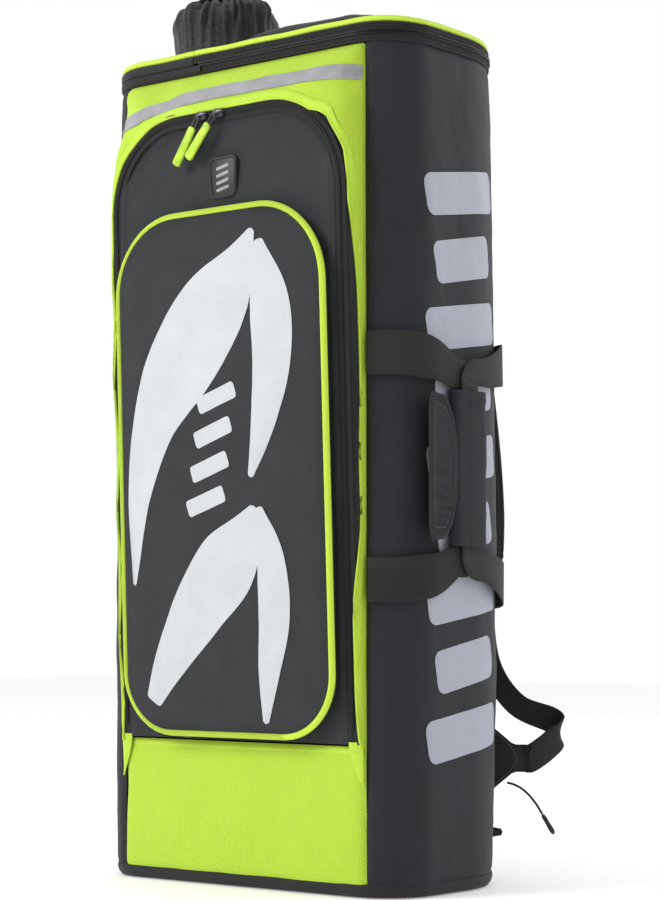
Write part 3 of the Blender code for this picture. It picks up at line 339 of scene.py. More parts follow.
# ---- materials -----------------------------------------------------------------------------------
class Look:
    """Builds one procedural material. Constants stay on the shader's own sockets."""

    def __init__(self, name, rough, metal=0.0, sheen=0.0, spec=0.4, coat=0.0, space="UV"):
        self.mat = bpy.data.materials.new(name)
        self.mat.use_nodes = True
        self.tree = self.mat.node_tree
        self.shader = self.tree.nodes["Principled BSDF"]
        for socket, value in (("Roughness", rough), ("Metallic", metal), ("Sheen Weight", sheen),
                              ("Specular IOR Level", spec), ("Coat Weight", coat)):
            self.shader.inputs[socket].default_value = value
        self.shader.inputs["Sheen Roughness"].default_value = 0.5
        self.coord = self.tree.nodes.new("ShaderNodeTexCoord").outputs[space]
        self.space = space
        self.height = None

    def link(self, a, b):
        self.tree.links.new(a, b)

    def math(self, op, a, b=None, clamp=False):
        node = self.tree.nodes.new("ShaderNodeMath")
        node.operation = op
        node.use_clamp = clamp
        for socket, value in zip(node.inputs, (a, b)):
            if value is None:
                continue
            if isinstance(value, (int, float)):
                socket.default_value = value
            else:
                self.link(value, socket)
        return node.outputs[0]

    def axes(self):
        node = self.tree.nodes.new("ShaderNodeSeparateXYZ")
        self.link(self.coord, node.inputs[0])
        x, y, z = node.outputs
        return (x, y) if self.space == "UV" else (self.math("ADD", x, self.math("MULTIPLY", y, 0.73)), z)

    def noise(self, size, detail=3.0, rough=0.55):
        node = self.tree.nodes.new("ShaderNodeTexNoise")
        node.inputs["Scale"].default_value = 1 / size
        node.inputs["Detail"].default_value = detail
        node.inputs["Roughness"].default_value = rough
        self.link(self.coord, node.inputs["Vector"])
        return node.outputs["Fac"]

    def wave(self, value, pitch):
        return self.math("SINE", self.math("MULTIPLY", value, TAU / pitch))

    def ramp(self, fac, stops):
        node = self.tree.nodes.new("ShaderNodeValToRGB")
        ramp = node.color_ramp
        while len(ramp.elements) < len(stops):
            ramp.elements.new(0.5)
        for element, (place, colour) in zip(ramp.elements, stops):
            element.position = place
            element.color = (*colour, 1)
        self.link(fac, node.inputs[0])
        return node.outputs["Color"]

    def colour(self, fac, dark, light, low=0.3, high=0.7):
        self.link(self.ramp(fac, [(low, dark), (high, light)]), self.shader.inputs["Base Color"])

    def bump(self, height, distance, strength=1.0):
        node = self.tree.nodes.new("ShaderNodeBump")
        node.inputs["Distance"].default_value = distance
        node.inputs["Strength"].default_value = strength
        self.link(height, node.inputs["Height"])
        self.link(node.outputs[0], self.shader.inputs["Normal"])

    def vary_rough(self, fac, low, high):
        node = self.tree.nodes.new("ShaderNodeMapRange")
        node.inputs["To Min"].default_value = low
        node.inputs["To Max"].default_value = high
        self.link(fac, node.inputs["Value"])
        self.link(node.outputs[0], self.shader.inputs["Roughness"])


def shade(colour, k):
    return tuple(min(c * k, 1.0) for c in colour)


def woven(name, colour, pitch=0.0016, depth=0.0003, rough=0.8, sheen=0.15, spread=0.16, space="UV",
          spec=0.35):
    """A plain woven cloth: two crossing sets of threads, with slubs and slight soiling, its colour
    lighter on the raised threads and darker between them as painted shade.
    """
    look = Look(name, rough, sheen=sheen, space=space, spec=spec)
    u, v = look.axes()
    cross = look.math("MULTIPLY", look.wave(u, pitch), look.wave(v, pitch))
    slub = look.noise(pitch * 1.7, 4.0, 0.7)
    broad = look.noise(0.045, 3.0)
    height = look.math("ADD", look.math("MULTIPLY", cross, 0.35), slub)
    # Colour follows the thread relief, lighter on raised threads and slubs and darker between them
    # (painted shade), plus a broad random tone.
    tone = look.math("ADD", look.math("MULTIPLY", look.math("ADD", height, -0.5), 0.55), broad)
    look.colour(tone, shade(colour, 1 - spread * 2), shade(colour, 1 + spread * 2), 0.2, 0.8)
    look.bump(height, depth)
    look.vary_rough(broad, rough - 0.08, rough + 0.08)
    return look.mat


def diamond_mesh(name, colour, pitch=0.0036):
    """An air-mesh knit: a lattice of small diamonds with darker cells, the darkening in the sunken cells
    being painted shade.
    """
    look = Look(name, 0.62, sheen=0.06, spec=0.35)
    u, v = look.axes()
    a = look.math("ADD", look.math("MULTIPLY", u, 1.25), v)
    b = look.math("SUBTRACT", look.math("MULTIPLY", u, 1.25), v)
    ridge = look.math("MAXIMUM", look.math("ABSOLUTE", look.wave(a, pitch * 2)),
                      look.math("ABSOLUTE", look.wave(b, pitch * 2)))
    knit = look.noise(0.0011, 2.0, 0.6)
    height = look.math("ADD", look.math("POWER", ridge, 2.2), look.math("MULTIPLY", knit, 0.35))
    broad = look.noise(0.06, 2.0)
    # Colour follows the relief: ridges lighter, sunken cells darker, as painted shade; the broad noise is
    # a random tone.
    tone = look.math("ADD", look.math("MULTIPLY", height, 0.6), look.math("MULTIPLY", broad, 0.25))
    look.colour(tone, shade(colour, 0.84), shade(colour, 1.06), 0.25, 0.85)
    look.bump(height, 0.0004)
    return look.mat


def ribbed(name, colour, pitch=0.0021, depth=0.0005, rough=0.75, space="UV", twill=0.5, sheen=0.03):
    """Webbing or piping: ribs along it crossed by fine diagonal threads."""
    look = Look(name, rough, sheen=sheen, space=space, spec=0.35)
    u, v = look.axes()
    rib = look.math("ABSOLUTE", look.wave(u, pitch * 2))
    thread = look.wave(look.math("ADD", v, look.math("MULTIPLY", u, twill)), pitch * 0.7)
    grain = look.noise(0.0012, 3.0, 0.7)
    height = look.math("ADD", look.math("ADD", rib, look.math("MULTIPLY", thread, 0.35)),
                       look.math("MULTIPLY", grain, 0.5))
    # Colour follows the relief: rib crests lighter and the grooves between them darker, painted highlight
    # and shade.
    look.colour(height, shade(colour, 0.65), shade(colour, 1.3), 0.15, 1.2 / 1.6)
    look.bump(height, depth)
    return look.mat


def moulded(name, colour, rough=0.4, metal=0.0, coat=0.0, space="Object", grain=0.00012):
    """Moulded plastic, rubber or enamelled metal, with a fine grain and worn sheen."""
    look = Look(name, rough, metal, space=space, spec=0.5, coat=coat)
    fine, broad = look.noise(0.0009, 3.0, 0.6), look.noise(0.012, 3.0)
    look.colour(broad, shade(colour, 0.8), shade(colour, 1.25))
    look.bump(fine, grain)
    look.vary_rough(broad, rough - 0.1, rough + 0.12)
    return look.mat


def crinkled(name, colour):
    """Thin coated nylon: fine ripstop lines with soft crinkles and a slight gloss; the crinkles are
    painted darker in their hollows and lighter on their crests.
    """
    look = Look(name, 0.42, sheen=0.1, spec=0.5)
    u, v = look.axes()
    lines = look.math("MAXIMUM", look.math("POWER", look.math("ABSOLUTE", look.wave(u, 0.010)), 24.0),
                      look.math("POWER", look.math("ABSOLUTE", look.wave(v, 0.010)), 24.0))
    creases, fine = look.noise(0.011, 5.0, 0.65), look.noise(0.0014, 2.0)
    height = look.math("ADD", look.math("MULTIPLY", creases, 3.0),
                       look.math("ADD", look.math("MULTIPLY", lines, 0.2), fine))
    # Colour follows the crinkle relief: darker in the creases, lighter on the crests, painted shade and
    # highlight.
    look.colour(creases, shade(colour, 0.7), shade(colour, 1.5))
    look.bump(height, 0.0009)
    look.vary_rough(creases, 0.3, 0.55)
    return look.mat


def reflective(name, colour):
    look = Look(name, 0.35, metal=0.15, spec=0.6)
    u, v = look.axes()
    beads = look.math("MULTIPLY", look.wave(u, 0.0018), look.wave(v, 0.0018))
    broad = look.noise(0.02, 3.0)
    # A little of the bead relief goes into the colour, lighter on the beads: a painted glint; the broad
    # noise is a random tone.
    look.colour(look.math("ADD", broad, look.math("MULTIPLY", beads, 0.1)), shade(colour, 0.82),
                shade(colour, 1.15))
    look.bump(beads, 0.00015)
    return look.mat


LIME_RGB, BLACK_RGB = (0.50, 0.72, 0.045), (0.024, 0.025, 0.029)
LIME = diamond_mesh("lime_air_mesh", LIME_RGB)
LIME_CORD = ribbed("lime_woven_piping", (0.56, 0.80, 0.060), 0.0012, 0.0002, 0.6, sheen=0.05)
LIME_HEM = woven("lime_hem_cloth", (0.52, 0.75, 0.050), 0.0014, 0.0002, 0.6, 0.05, 0.07)
BLACK = woven("charcoal_polyester", BLACK_RGB, 0.0015, 0.0004, 0.72, 0.06, 0.17)
# The side walls' charcoal polyester as a darker, bluer copy of BLACK: painted shade for the walls turned
# away from the key light.
BLACK_SIDE_PAINTED_SHADE = woven("charcoal_polyester_side_painted_shade", (0.0125, 0.0135, 0.0190), 0.0015, 0.0004, 0.66, 0.04, 0.17)
BLACK_HEM = woven("black_hem_cloth", (0.016, 0.016, 0.018), 0.0011, 0.0002, 0.7, 0.04)
LINING = woven("grey_lining", (0.10, 0.10, 0.11), 0.0012, 0.0002, 0.85, 0.1, space="Object")
BOARD = moulded("stiffener_sheet", (0.05, 0.05, 0.052), 0.6)
COIL = moulded("nylon_coil", (0.010, 0.010, 0.011), 0.55)
ZIP_TAPE = ribbed("zip_tape_cloth", (0.016, 0.016, 0.018), 0.0009, 0.0002, 0.75)
WEBBING = ribbed("black_webbing", (0.0165, 0.0155, 0.0145), 0.0017, 0.0003, 0.72)
BINDING = ribbed("ribbed_binding", (0.028, 0.028, 0.030), 0.0012, 0.0004, 0.7, twill=0.0)
WRAP = woven("navy_grip_cloth", (0.0115, 0.0120, 0.0185), 0.0013, 0.0003, 0.75, 0.05)
SPACER = diamond_mesh("charcoal_spacer_mesh", (0.026, 0.026, 0.029), 0.0042)
NYLON = crinkled("crinkled_nylon", (0.020, 0.020, 0.023))
SILVER = reflective("reflective_strip", (0.34, 0.34, 0.36))
PRINT = woven("pale_grey_print", (0.60, 0.62, 0.645), 0.0016, 0.0002, 0.5, 0.0, 0.04)
# The side bars' print as a darker, bluer copy of PRINT: painted shade on the side wall.
PRINT_SIDE_PAINTED_SHADE = woven("pale_grey_side_print_painted_shade", (0.40, 0.415, 0.485), 0.0016, 0.0002, 0.5, 0.0, 0.04)
PLASTIC = moulded("black_acetal", (0.016, 0.016, 0.017), 0.36)
METAL = moulded("dark_enamelled_zinc", (0.09, 0.09, 0.10), 0.3, 0.85)
RUBBER = moulded("badge_rubber", (0.022, 0.023, 0.026), 0.5, grain=0.00008)
PALE_RUBBER = moulded("pale_badge_rubber", (0.34, 0.34, 0.35), 0.55)
THREAD_DARK = moulded("dark_thread", (0.05, 0.05, 0.055), 0.7, grain=0.00004)
THREAD_LIME = moulded("lime_thread", (0.50, 0.70, 0.07), 0.7, grain=0.00004)
THREAD_PALE = moulded("pale_thread", (0.50, 0.50, 0.50), 0.7, grain=0.00004)
THREAD_GREY = moulded("grey_thread", (0.20, 0.20, 0.21), 0.7, grain=0.00004)


# ---- camera, light and floor ---------------------------------------------------------------------
def build_stage():
    scene = bpy.context.scene
    scene.view_settings.view_transform = "Standard"
    cam = bpy.data.cameras.new("camera")
    cam.lens, cam.sensor_width, cam.shift_x = 93.7, 36.0, 0.0169
    eye = bpy.data.objects.new("camera", cam)
    eye.location = (1.364, -1.655, 0.229)
    eye.rotation_euler = (math.radians(94.25), 0, math.radians(39.5))
    scene.collection.objects.link(eye)
    scene.camera = eye
    world = bpy.data.worlds.new("studio")
    scene.world = world
    world.use_nodes = True
    tree = world.node_tree
    back = tree.nodes["Background"]
    back.inputs["Color"].default_value = (1, 1, 1, 1)
    away = tree.nodes.new("ShaderNodeVectorMath")
    away.operation = "DOT_PRODUCT"
    away.inputs[1].default_value = (-0.636, 0.771, 0)
    tree.links.new(tree.nodes.new("ShaderNodeTexCoord").outputs["Generated"], away.inputs[0])
    span = tree.nodes.new("ShaderNodeMapRange")
    for socket, value in (("From Min", -0.6), ("From Max", 0.85), ("To Min", 0.50), ("To Max", 1.0)):
        span.inputs[socket].default_value = value
    tree.links.new(away.outputs["Value"], span.inputs["Value"])
    tree.links.new(span.outputs[0], back.inputs["Strength"])
    for name, place, size, power in (("key", (-1.2, -2.3, 1.9), 1.2, 46),
                                     ("side", (2.6, 0.5, 1.7), 1.4, 9),
                                     ("rear", (0.6, 2.3, 1.9), 1.4, 16)):
        lamp = bpy.data.lights.new(name, "AREA")
        lamp.size, lamp.energy = size, power
        obj = bpy.data.objects.new(name, lamp)
        obj.location = place
        obj.rotation_euler = (Vector((0, 0, 0.4)) - Vector(place)).to_track_quat("-Z", "Y").to_euler()
        scene.collection.objects.link(obj)
    mesh = bpy.data.meshes.new("floor")
    mesh.from_pydata([(-6, -6, 0), (6, -6, 0), (6, 6, 0), (-6, 6, 0)], [], [(0, 1, 2, 3)])
    pale = Look("pale_floor", 0.6, spec=0.2, space="Object")
    pale.colour(pale.noise(0.8, 2.0), (0.95, 0.95, 0.95), (0.98, 0.98, 0.98))
    pale.shader.inputs["Emission Color"].default_value = (1, 1, 1, 1)
    pale.shader.inputs["Emission Strength"].default_value = 0.22
    mesh.materials.append(pale.mat)
    floor = bpy.data.objects.new("floor", mesh)
    scene.collection.objects.link(floor)


# ---- cord on the right anchor --------------------------------------------------------------------
OUTWARD = np.array([0.885, 0.465, 0.0]) / math.hypot(0.885, 0.465)
ANCHOR_Z = 0.107
BACK_SEAM = np.array([0.095, DEPTH / 2 - BACK_RADIUS + math.sqrt(BACK_RADIUS ** 2 - 0.03 ** 2), 0.0])


def anchor(side):
    """Where an anchor is sewn to the back seam, the way it reaches, and across it."""
    flip = np.array([side, 1, 1])
    outward = OUTWARD * flip
    return (BACK_SEAM + OUTWARD * 0.003) * flip, outward, np.cross(outward, (0, 0, 1))


def build_cord():
    base, outward, normal = anchor(1)
    start = base + outward * 0.036 + normal * 0.0035 + np.array([0, 0, ANCHOR_Z - 0.022])
    drops = [(0.0, 0.0), (0.006, -0.0015), (0.013, -0.005), (0.020, -0.011), (0.0265, -0.019),
             (0.032, -0.028)]
    route = smooth_path([start + outward * reach + np.array([0, 0, drop]) for reach, drop in drops], 4)
    curve = bpy.data.curves.new("pull_cord_line", "CURVE")
    curve.dimensions = "3D"
    curve.bevel_depth, curve.bevel_resolution, curve.use_fill_caps = 0.0011, 3, True
    line = curve.splines.new("POLY")
    line.points.add(len(route) - 1)
    for slot, point in zip(line.points, route):
        slot.co = (*point, 1.0)
    curve.materials.append(CORD_OBJ)
    cord = bpy.data.objects.new("pull_cord_line", curve)
    bpy.context.scene.collection.objects.link(cord)
    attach(cord, "shell")
    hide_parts("pull_cord")
    along = (route[-1] - route[-2]) / np.linalg.norm(route[-1] - route[-2])
    steps = np.array([0.0, 0.001, 0.003, 0.008, 0.013, 0.017, 0.0195, 0.0203])
    radii = np.array([0.0009, 0.0016, 0.0021, 0.0020, 0.0023, 0.0023, 0.0016, 0.0006])
    tip = make("cord_pull_tip", [g_tube(route[-1] + along * (steps[:, None] + 0.0002), radii, sides=14)],
               PLASTIC,
               "shell", ["cord_pull"])


# ---- walls ---------------------------------------------------------------------------------------
def panel(name, s0, s1, z0, z1, look, replaces, size, belly=0.0, seed=1, pinch=0.0022, soft=0.0010):
    rows, cols = size
    S, Z = np.meshgrid(np.linspace(s0, s1, cols), np.linspace(z0, z1, rows))
    flat = wall_points(S, Z, np.zeros_like(S))
    off = (bulge(S, Z) + soft * ripple(flat, 0.16, seed)
           + 0.00035 * ripple(flat * (1, 1, 0.6), 0.03, seed + 9))
    across, high = (S - s0) / (s1 - s0), (Z - z0) / (z1 - z0)
    off += belly * np.sin(math.pi * across) ** 0.5 * np.sin(math.pi * high) ** 0.6
    seam = np.minimum(S - s0, s1 - S)
    hem = np.minimum(Z - z0, z1 - Z)
    off -= pinch * np.exp(-(seam / 0.0035) ** 2) + 0.0010 * np.exp(-(hem / 0.003) ** 2)
    P = wall_points(S, Z, off)
    return make(name, [g_skin(P, CLOTH, (0, 0, 0.4))], look, "shell", replaces)


def side_point(s, z, lift=0.0004):
    flat = wall_points(s, z, np.zeros_like(s))
    off = bulge(s, z) + 0.0010 * ripple(flat, 0.16, 3) + 0.00035 * ripple(flat * (1, 1, 0.6), 0.03, 12)
    return wall_points(s, z, off + lift)


def g_stripe(line, widths, surface, m=9, away=(0, 0, 0.4), corner=0.003):
    """A printed stripe: a tapering band about a line, laid on a surface."""
    c, _ = walk(smooth_path(line, 16), 0.0009)
    s = np.linspace(0, 1, len(c))
    w = smooth_path(np.asarray(widths, float)[:, None], 24)[:, 0]
    w = np.interp(s, np.linspace(0, 1, len(w)), w)
    t = np.gradient(c, axis=0)
    t /= np.linalg.norm(t, axis=1, keepdims=True)
    nrm = np.stack([-t[:, 1], t[:, 0]], axis=1)
    inset = np.clip(1 - np.minimum(s, 1 - s) * (len(c) * 0.0009) / corner, 0, 1)
    w = np.maximum(w - corner * (1 - np.sqrt(1 - inset ** 2)), 0.0002)
    k = np.linspace(-1, 1, m)
    grid = c[:, None] + nrm[:, None] * w[:, None, None] * k[None, :, None]
    return g_skin(surface(grid[..., 0], grid[..., 1]), 0.00025, away)


def build_walls():
    top, low = BAND_BOTTOM - SEAM_GAP, BASE_HEIGHT + SEAM_GAP
    # The side walls take the darker copy of the charcoal cloth: painted shade.
    panel("right_side_cloth", SEAM_F, SEAM_B, low, top, BLACK_SIDE_PAINTED_SHADE, ["right_side_panel"],
          (110, 90), seed=3)
    panel("left_side_cloth", -SEAM_B, -SEAM_F, low, top, BLACK_SIDE_PAINTED_SHADE, ["left_side_panel"],
          (110, 90), seed=5)
    panel("back_cloth", SEAM_B, 2 * HALF - SEAM_B, low, top, BLACK, ["back_panel"],
          (90, 70), seed=6)
    panel("front_lower_mesh", -SEAM_F, SEAM_F, low, FLAP_BOTTOM + 0.0016, LIME,
          ["front_lower_panel"],
          (40, 150), belly=0.0030, seed=7, soft=0.0016)
    panel("front_lower_hem", -SEAM_F + 0.001, SEAM_F - 0.001, FLAP_BOTTOM - 0.0075, FLAP_BOTTOM + 0.0022,
          LIME_HEM,
                (), (7, 110), belly=0.0012, seed=7, soft=0.0016)
    tails = []
    for side in (-1, 1):
        run = np.linspace(0, 1, 14)
        z = FLAP_BOTTOM + 0.006 - 0.038 * run
        inner = side * (SEAM_F - 0.0145 + 0.013 * run ** 1.6)
        cross = np.linspace(0, 1, 6)
        S = inner[:, None] * (1 - cross) + side * (SEAM_F - 0.0012) * cross
        Z = z[:, None] + 0 * S
        tails.append(g_skin(wall_points(S, Z, 0.0036 + 0.0012 * np.sin(math.pi * cross)
                                        - 0.0022 * run[:, None]), 0.001, (0, 0, 0.1)))
    make("front_lower_tails", tails, LIME_HEM, "shell")
    bars = []
    for k in range(9):
        z = 0.128 + 0.0585 * k
        s = SEAM_F + 0.053 + (0.0, 0.010)[k % 2]
        end = SEAM_F + (0.158, 0.148)[k % 2]
        bars.append(g_stripe([(s, z), ((s + end) / 2, z + 0.008), (end, z + 0.016)],
                             [0.0185, 0.0185, 0.0185], side_point, m=7, away=(0, 0, z), corner=0.009))
    # The side bars take the darker copy of the print: painted shade.
    make("side_bars_print", bars, PRINT_SIDE_PAINTED_SHADE, "shell")
    base = [(-0.0085, 0.0004), (-0.0035, 0.0010), (-0.0010, 0.0040), (0.0002, 0.0085), (-0.0004, 0.0112),
            (-0.0020, 0.0120), (-0.0040, 0.0112), (-0.0046, 0.0050)]
    make("base_edge_cloth", [outline_band(base, np.linspace(0, 2 * HALF, 260)[:-1], True)], BLACK_HEM,
         "shell")
    seams = []
    for side in (-1, 1):
        z = np.linspace(0.016, BAND_BOTTOM - 0.006, 160)
        for s in (SEAM_F + 0.006, SEAM_B - 0.006):
            S = np.full_like(z, side * s)
            seams.append(g_stitches(side_point(S, z, 0.0003), (side * 0.9, -0.3 if s < 0.2 else 0.5, 0),
                                    0.0036))
    make("seam_stitches", seams, THREAD_DARK, "shell")


# ---- top -----------------------------------------------------------------------------------------
def crown(x, y):
    return LID_CROWN * (1 - (2 * x / WIDTH) ** 2) * (1 - (2 * y / DEPTH) ** 2)


def ridged(z0, z1, ridges, depth=0.0008, inner=-0.0028):
    z = np.linspace(z0, z1, ridges * 6 + 1)
    off = depth * np.abs(np.sin(math.pi * ridges * (z - z0) / (z1 - z0)))
    return [*zip(off, z), (inner, z1), (inner, z0)]


def band_teeth(z, s0, s1, tall=0.0016):
    s = np.arange(s0, s1, 0.0019)
    x, y, nx, ny = plan_at(s)
    n = np.stack([nx, ny, 0 * nx], axis=1)
    t = np.stack([-ny, nx, 0 * nx], axis=1)
    up = np.broadcast_to((0.0, 0.0, 1.0), n.shape)
    c = np.stack([x, y, 0 * x + z], axis=1) + n * 0.0009
    return g_boxes(c, np.stack([t, n, up], axis=1), (0.0011, 0.0018, tall))


def chord(x, inset):
    front, back = inset - DEPTH / 2, DEPTH / 2 - inset
    over = abs(x) - (WIDTH / 2 - FRONT_RADIUS)
    if over > 0:
        front = FRONT_RADIUS - DEPTH / 2 - math.sqrt(max((FRONT_RADIUS - inset) ** 2 - over ** 2, 0))
    over = abs(x) - (WIDTH / 2 - BACK_RADIUS)
    if over > 0:
        back = DEPTH / 2 - BACK_RADIUS + math.sqrt(max((BACK_RADIUS - inset) ** 2 - over ** 2, 0))
    return front, back


def build_top():
    s_zip0, s_zip1 = LID_X + LID_FOLD, HALF - LID_X - LID_FOLD
    zip_run, rest = np.linspace(s_zip0, s_zip1, 220), np.linspace(s_zip1, 2 * HALF + s_zip0, 90)
    plain = [(-0.0003, BAND_BOTTOM), (0.0008, BAND_BOTTOM + 0.0015), (0.0010, SPLIT_Z - 0.002),
             (0.0002, SPLIT_Z - 0.0003),
             (-0.0028, SPLIT_Z - 0.0003), (-0.0028, BAND_BOTTOM)]
    make("rim_tape",
         [outline_band(ridged(BAND_BOTTOM, SPLIT_Z - 0.0013, 3), zip_run), outline_band(plain, rest)],
         ZIP_TAPE, "shell", ["rim_band"])
    make("rim_coil", [band_teeth(SPLIT_Z - 0.0011, s_zip0 + 0.004, s_zip1 - 0.004)], COIL, "shell")
    lid_run = np.linspace(LID_X + 0.0008, HALF - LID_X - 0.0008, 220)
    make("lid_tape", [outline_band(ridged(SPLIT_Z + 0.0015, WALL_TOP, 3), lid_run)], ZIP_TAPE, "lid",
         ["lid_band"])
    make("lid_coil", [band_teeth(SPLIT_Z + 0.0011, s_zip0 + 0.004, s_zip1 - 0.004)], COIL, "lid")
    upper = [(0.0002, SPLIT_Z + 0.0003), (0.0010, SPLIT_Z + 0.002), (0.0009, WALL_TOP - 0.0015),
             (-0.0003, WALL_TOP),
             (-0.0028, WALL_TOP), (-0.0028, SPLIT_Z + 0.0003)]
    s_deck = np.linspace(HALF - LID_X, 2 * HALF + LID_X, 90)
    make("deck_tape", [outline_band(upper, s_deck)], BLACK_HEM, "shell", ["deck_band"])
    for name, run, body, node in (("lid_edge_piping", lid_run, "lid", "lid_piping"),
                                  ("deck_edge_piping", s_deck, "shell", "deck_piping")):
        x, y, nx, ny = plan_at(run)
        wave = 0.0003 * np.sin(run * 90)
        path = np.stack([x - nx * 0.0027, y - ny * 0.0027, WALL_TOP + 0.0029 + wave], axis=1)
        make(name, [g_tube(path, 0.0028, sides=14)], LIME_CORD, body, [node])
    tabs = []
    for s in (s_zip0 + 0.002, s_zip1 - 0.002):
        run = np.linspace(s - 0.0045, s + 0.0045, 7)
        tab = [(0.0008, BAND_BOTTOM + 0.001), (0.0024, BAND_BOTTOM + 0.002), (0.0024, SPLIT_Z - 0.0015),
               (0.0008, SPLIT_Z - 0.0006)]
        tabs.append(outline_band(tab, run))
    make("zip_end_tabs", tabs, BLACK_HEM, "shell")

    x0, x1 = LID_X + LID_FOLD, WIDTH / 2 - 0.0063
    rows = []
    for a in np.linspace(0, math.pi / 2, 46):
        x = x0 + (x1 - x0) * math.sin(a)
        front, back = chord(x, 0.0063)
        y = (front + back) / 2 - (back - front) / 2 * np.cos(np.linspace(0, math.pi, 60))
        edge = np.minimum(np.minimum(y - front, back - y), x1 - x)
        rows.append(np.stack([0 * y + x, y, LID_EDGE_Z + crown(x, y) + 0.001
                              - 0.0028 * np.exp(-edge / 0.003)], axis=1))
    P = np.array(rows)
    x, y = P[..., 0], P[..., 1]
    P[..., 2] += 0.0085 * np.exp(-((y + 0.082)
                                   / 0.018) ** 2) * np.exp(-((x - 0.065)
                                                             / 0.075) ** 4) * np.clip((y + 0.0987)
                                                                                      / 0.004, 0, 1)
    P[..., 2] += (0.0010 * ripple(P, 0.09, 21)
                  + 0.0003 * ripple(P, 0.02, 22)) * np.clip((P[..., 0] - x0) / 0.03, 0, 1)
    make("lid_cloth", [g_skin(P, CLOTH, (0.05, 0, 0))], BLACK, "lid", ["lid_panel"])

    border = []
    for x in LID_X + (-(WIDTH / 2 - 0.0063) - LID_X) * np.sin(np.linspace(0, math.pi / 2, 40)):
        border.append((x, *chord(x, 0.0063)))
    border = np.array(border)
    loop = [*zip(border[:, 0], border[:, 1]), *zip(border[::-1, 0], border[::-1, 2])]
    loop += [(LID_X, y) for y in np.linspace(border[0, 2], border[0, 1], 26)[1:-1]]
    loop = np.array(loop)
    rel = loop - (COLLAR_X, 0)
    way = rel / np.linalg.norm(rel, axis=1, keepdims=True)
    inner = (COLLAR_X, 0) + way * (COLLAR_RADIUS - 0.004)
    t = np.linspace(0, 1, 14)[:, None, None]
    Q = inner * (1 - t) + loop * t
    Z = LID_EDGE_Z + crown(Q[..., 0], Q[..., 1]) + 0.0002
    P = np.concatenate([Q, Z[..., None]], axis=2)
    make("deck_cloth", [g_skin(P, CLOTH, (COLLAR_X, 0, 0), wrap=True)], BLACK, "shell",
         ["top_deck"])

    xs = np.linspace(LID_X - 0.0006, LID_X + LID_FOLD + 0.0012, 12)
    y = np.linspace(-DEPTH / 2 + 0.0066, DEPTH / 2 - 0.0066, 50)
    X, Y = np.meshgrid(xs, y)
    P = np.stack([X, Y, LID_EDGE_Z + crown(X, Y) + 0.0007
                  - 0.0006 * np.sin(math.pi * (X - xs[0]) / (xs[-1] - xs[0]))], axis=2)
    fold = make("lid_fold_cloth", [g_skin(P, 0.0008, (0, 0, 0))], BLACK_HEM)
    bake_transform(fold)


def build_collar():
    keys = np.array([(0.0480, 0.7515), (0.0484, 0.757), (0.0487, 0.765), (0.0496, 0.778), (0.0500, 0.791),
                     (0.0488, 0.802),
                     (0.0452, 0.8105), (0.0385, 0.8150), (0.0300, 0.8160), (0.0234, 0.8160),
                     (0.0218, 0.8174),
                     (0.0222, 0.8188), (0.0250, 0.8212), (0.0285, 0.8228), (0.0300, 0.8224)])
    profile = smooth_path(keys, 5)
    count = 260
    th = np.arange(count) * TAU / count
    r, z = profile[:, :1], profile[:, 1:]
    h = np.linspace(0, 1, len(profile))[:, None]
    ring = np.stack([np.cos(th), np.sin(th), 0 * th], axis=1) * 0.05
    seeds = ripple(ring, 0.035, 31), ripple(ring, 0.018, 32)
    turn = 2.2 * ripple(np.stack([np.cos(th) + 0 * h, np.sin(th) + 0 * h, h + 0 * th], axis=2) * 0.05,
                        0.045, 34)
    pleat = np.sin(17 * th + 3.6 * seeds[0]
                   + turn) + 0.7 * np.sin(31 * th + 2.6 * seeds[1] - turn - 5 * h)
    body = np.exp(-((h - 0.45) / 0.20) ** 2)
    neck = np.exp(-((h - 0.70) / 0.07) ** 2)
    mouth = np.clip((h - 0.80) / 0.15, 0, 1)
    amp = 0.0004 + 0.0017 * body + 0.0012 * mouth - 0.0002 * neck
    r = r * (1 - 0.10 * mouth * np.exp(-((th - math.pi / 2) / 0.4) ** 2))
    P = np.stack([COLLAR_X + r * np.cos(th), r * np.sin(th), z + 0 * th], axis=2)
    low = ripple(P, 0.035, 33)
    r = r + amp * pleat + 0.0024 * body * low
    waist = np.exp(-((h - 0.52) / 0.10) ** 2)
    ruffle = 0.0016 * mouth * np.sin(9 * th + 2 * seeds[0])
    Z = z + waist * (0.0036 * low + 0.0022 * pleat) + ruffle * (1 + 0 * h)
    floor_z = LID_EDGE_Z + crown(COLLAR_X + r * np.cos(th), r * np.sin(th)) - 0.0006
    Z = np.where(h < 0.02, floor_z, np.maximum(Z, floor_z))
    P = np.stack([COLLAR_X + r * np.cos(th), r * np.sin(th), Z], axis=2)
    make("collar_cloth", [g_skin(P, 0.0007, (COLLAR_X, 0, 0.79), wrap=True)], NYLON, "shell",
         ["tube_collar", "collar_neck"], sharp=70)
    x, y = COLLAR_X + 0.0492 * np.cos(th), 0.0492 * np.sin(th)
    path = np.stack([x, y, LID_EDGE_Z + crown(x, y) + 0.0018], axis=1)[::2]
    make("collar_foot_binding", [g_tube(path, 0.0016, True)], BINDING, "shell")


# ---- front pocket --------------------------------------------------------------------------------
def flap_point(x, v, w=0.0):
    """A point on the leaning flap: x across, v up it, w out of its face."""
    c, s = math.cos(TILT), math.sin(TILT)
    return np.stack([x + 0 * v, FLAP_Y - w * c - v * s, FLAP_BOTTOM - w * s + v * c + 0 * x], axis=-1)


FLAP_OUT = np.array([0, -math.cos(TILT), -math.sin(TILT)])
LEG_STEPS, CORNER_STEPS = 30, 26


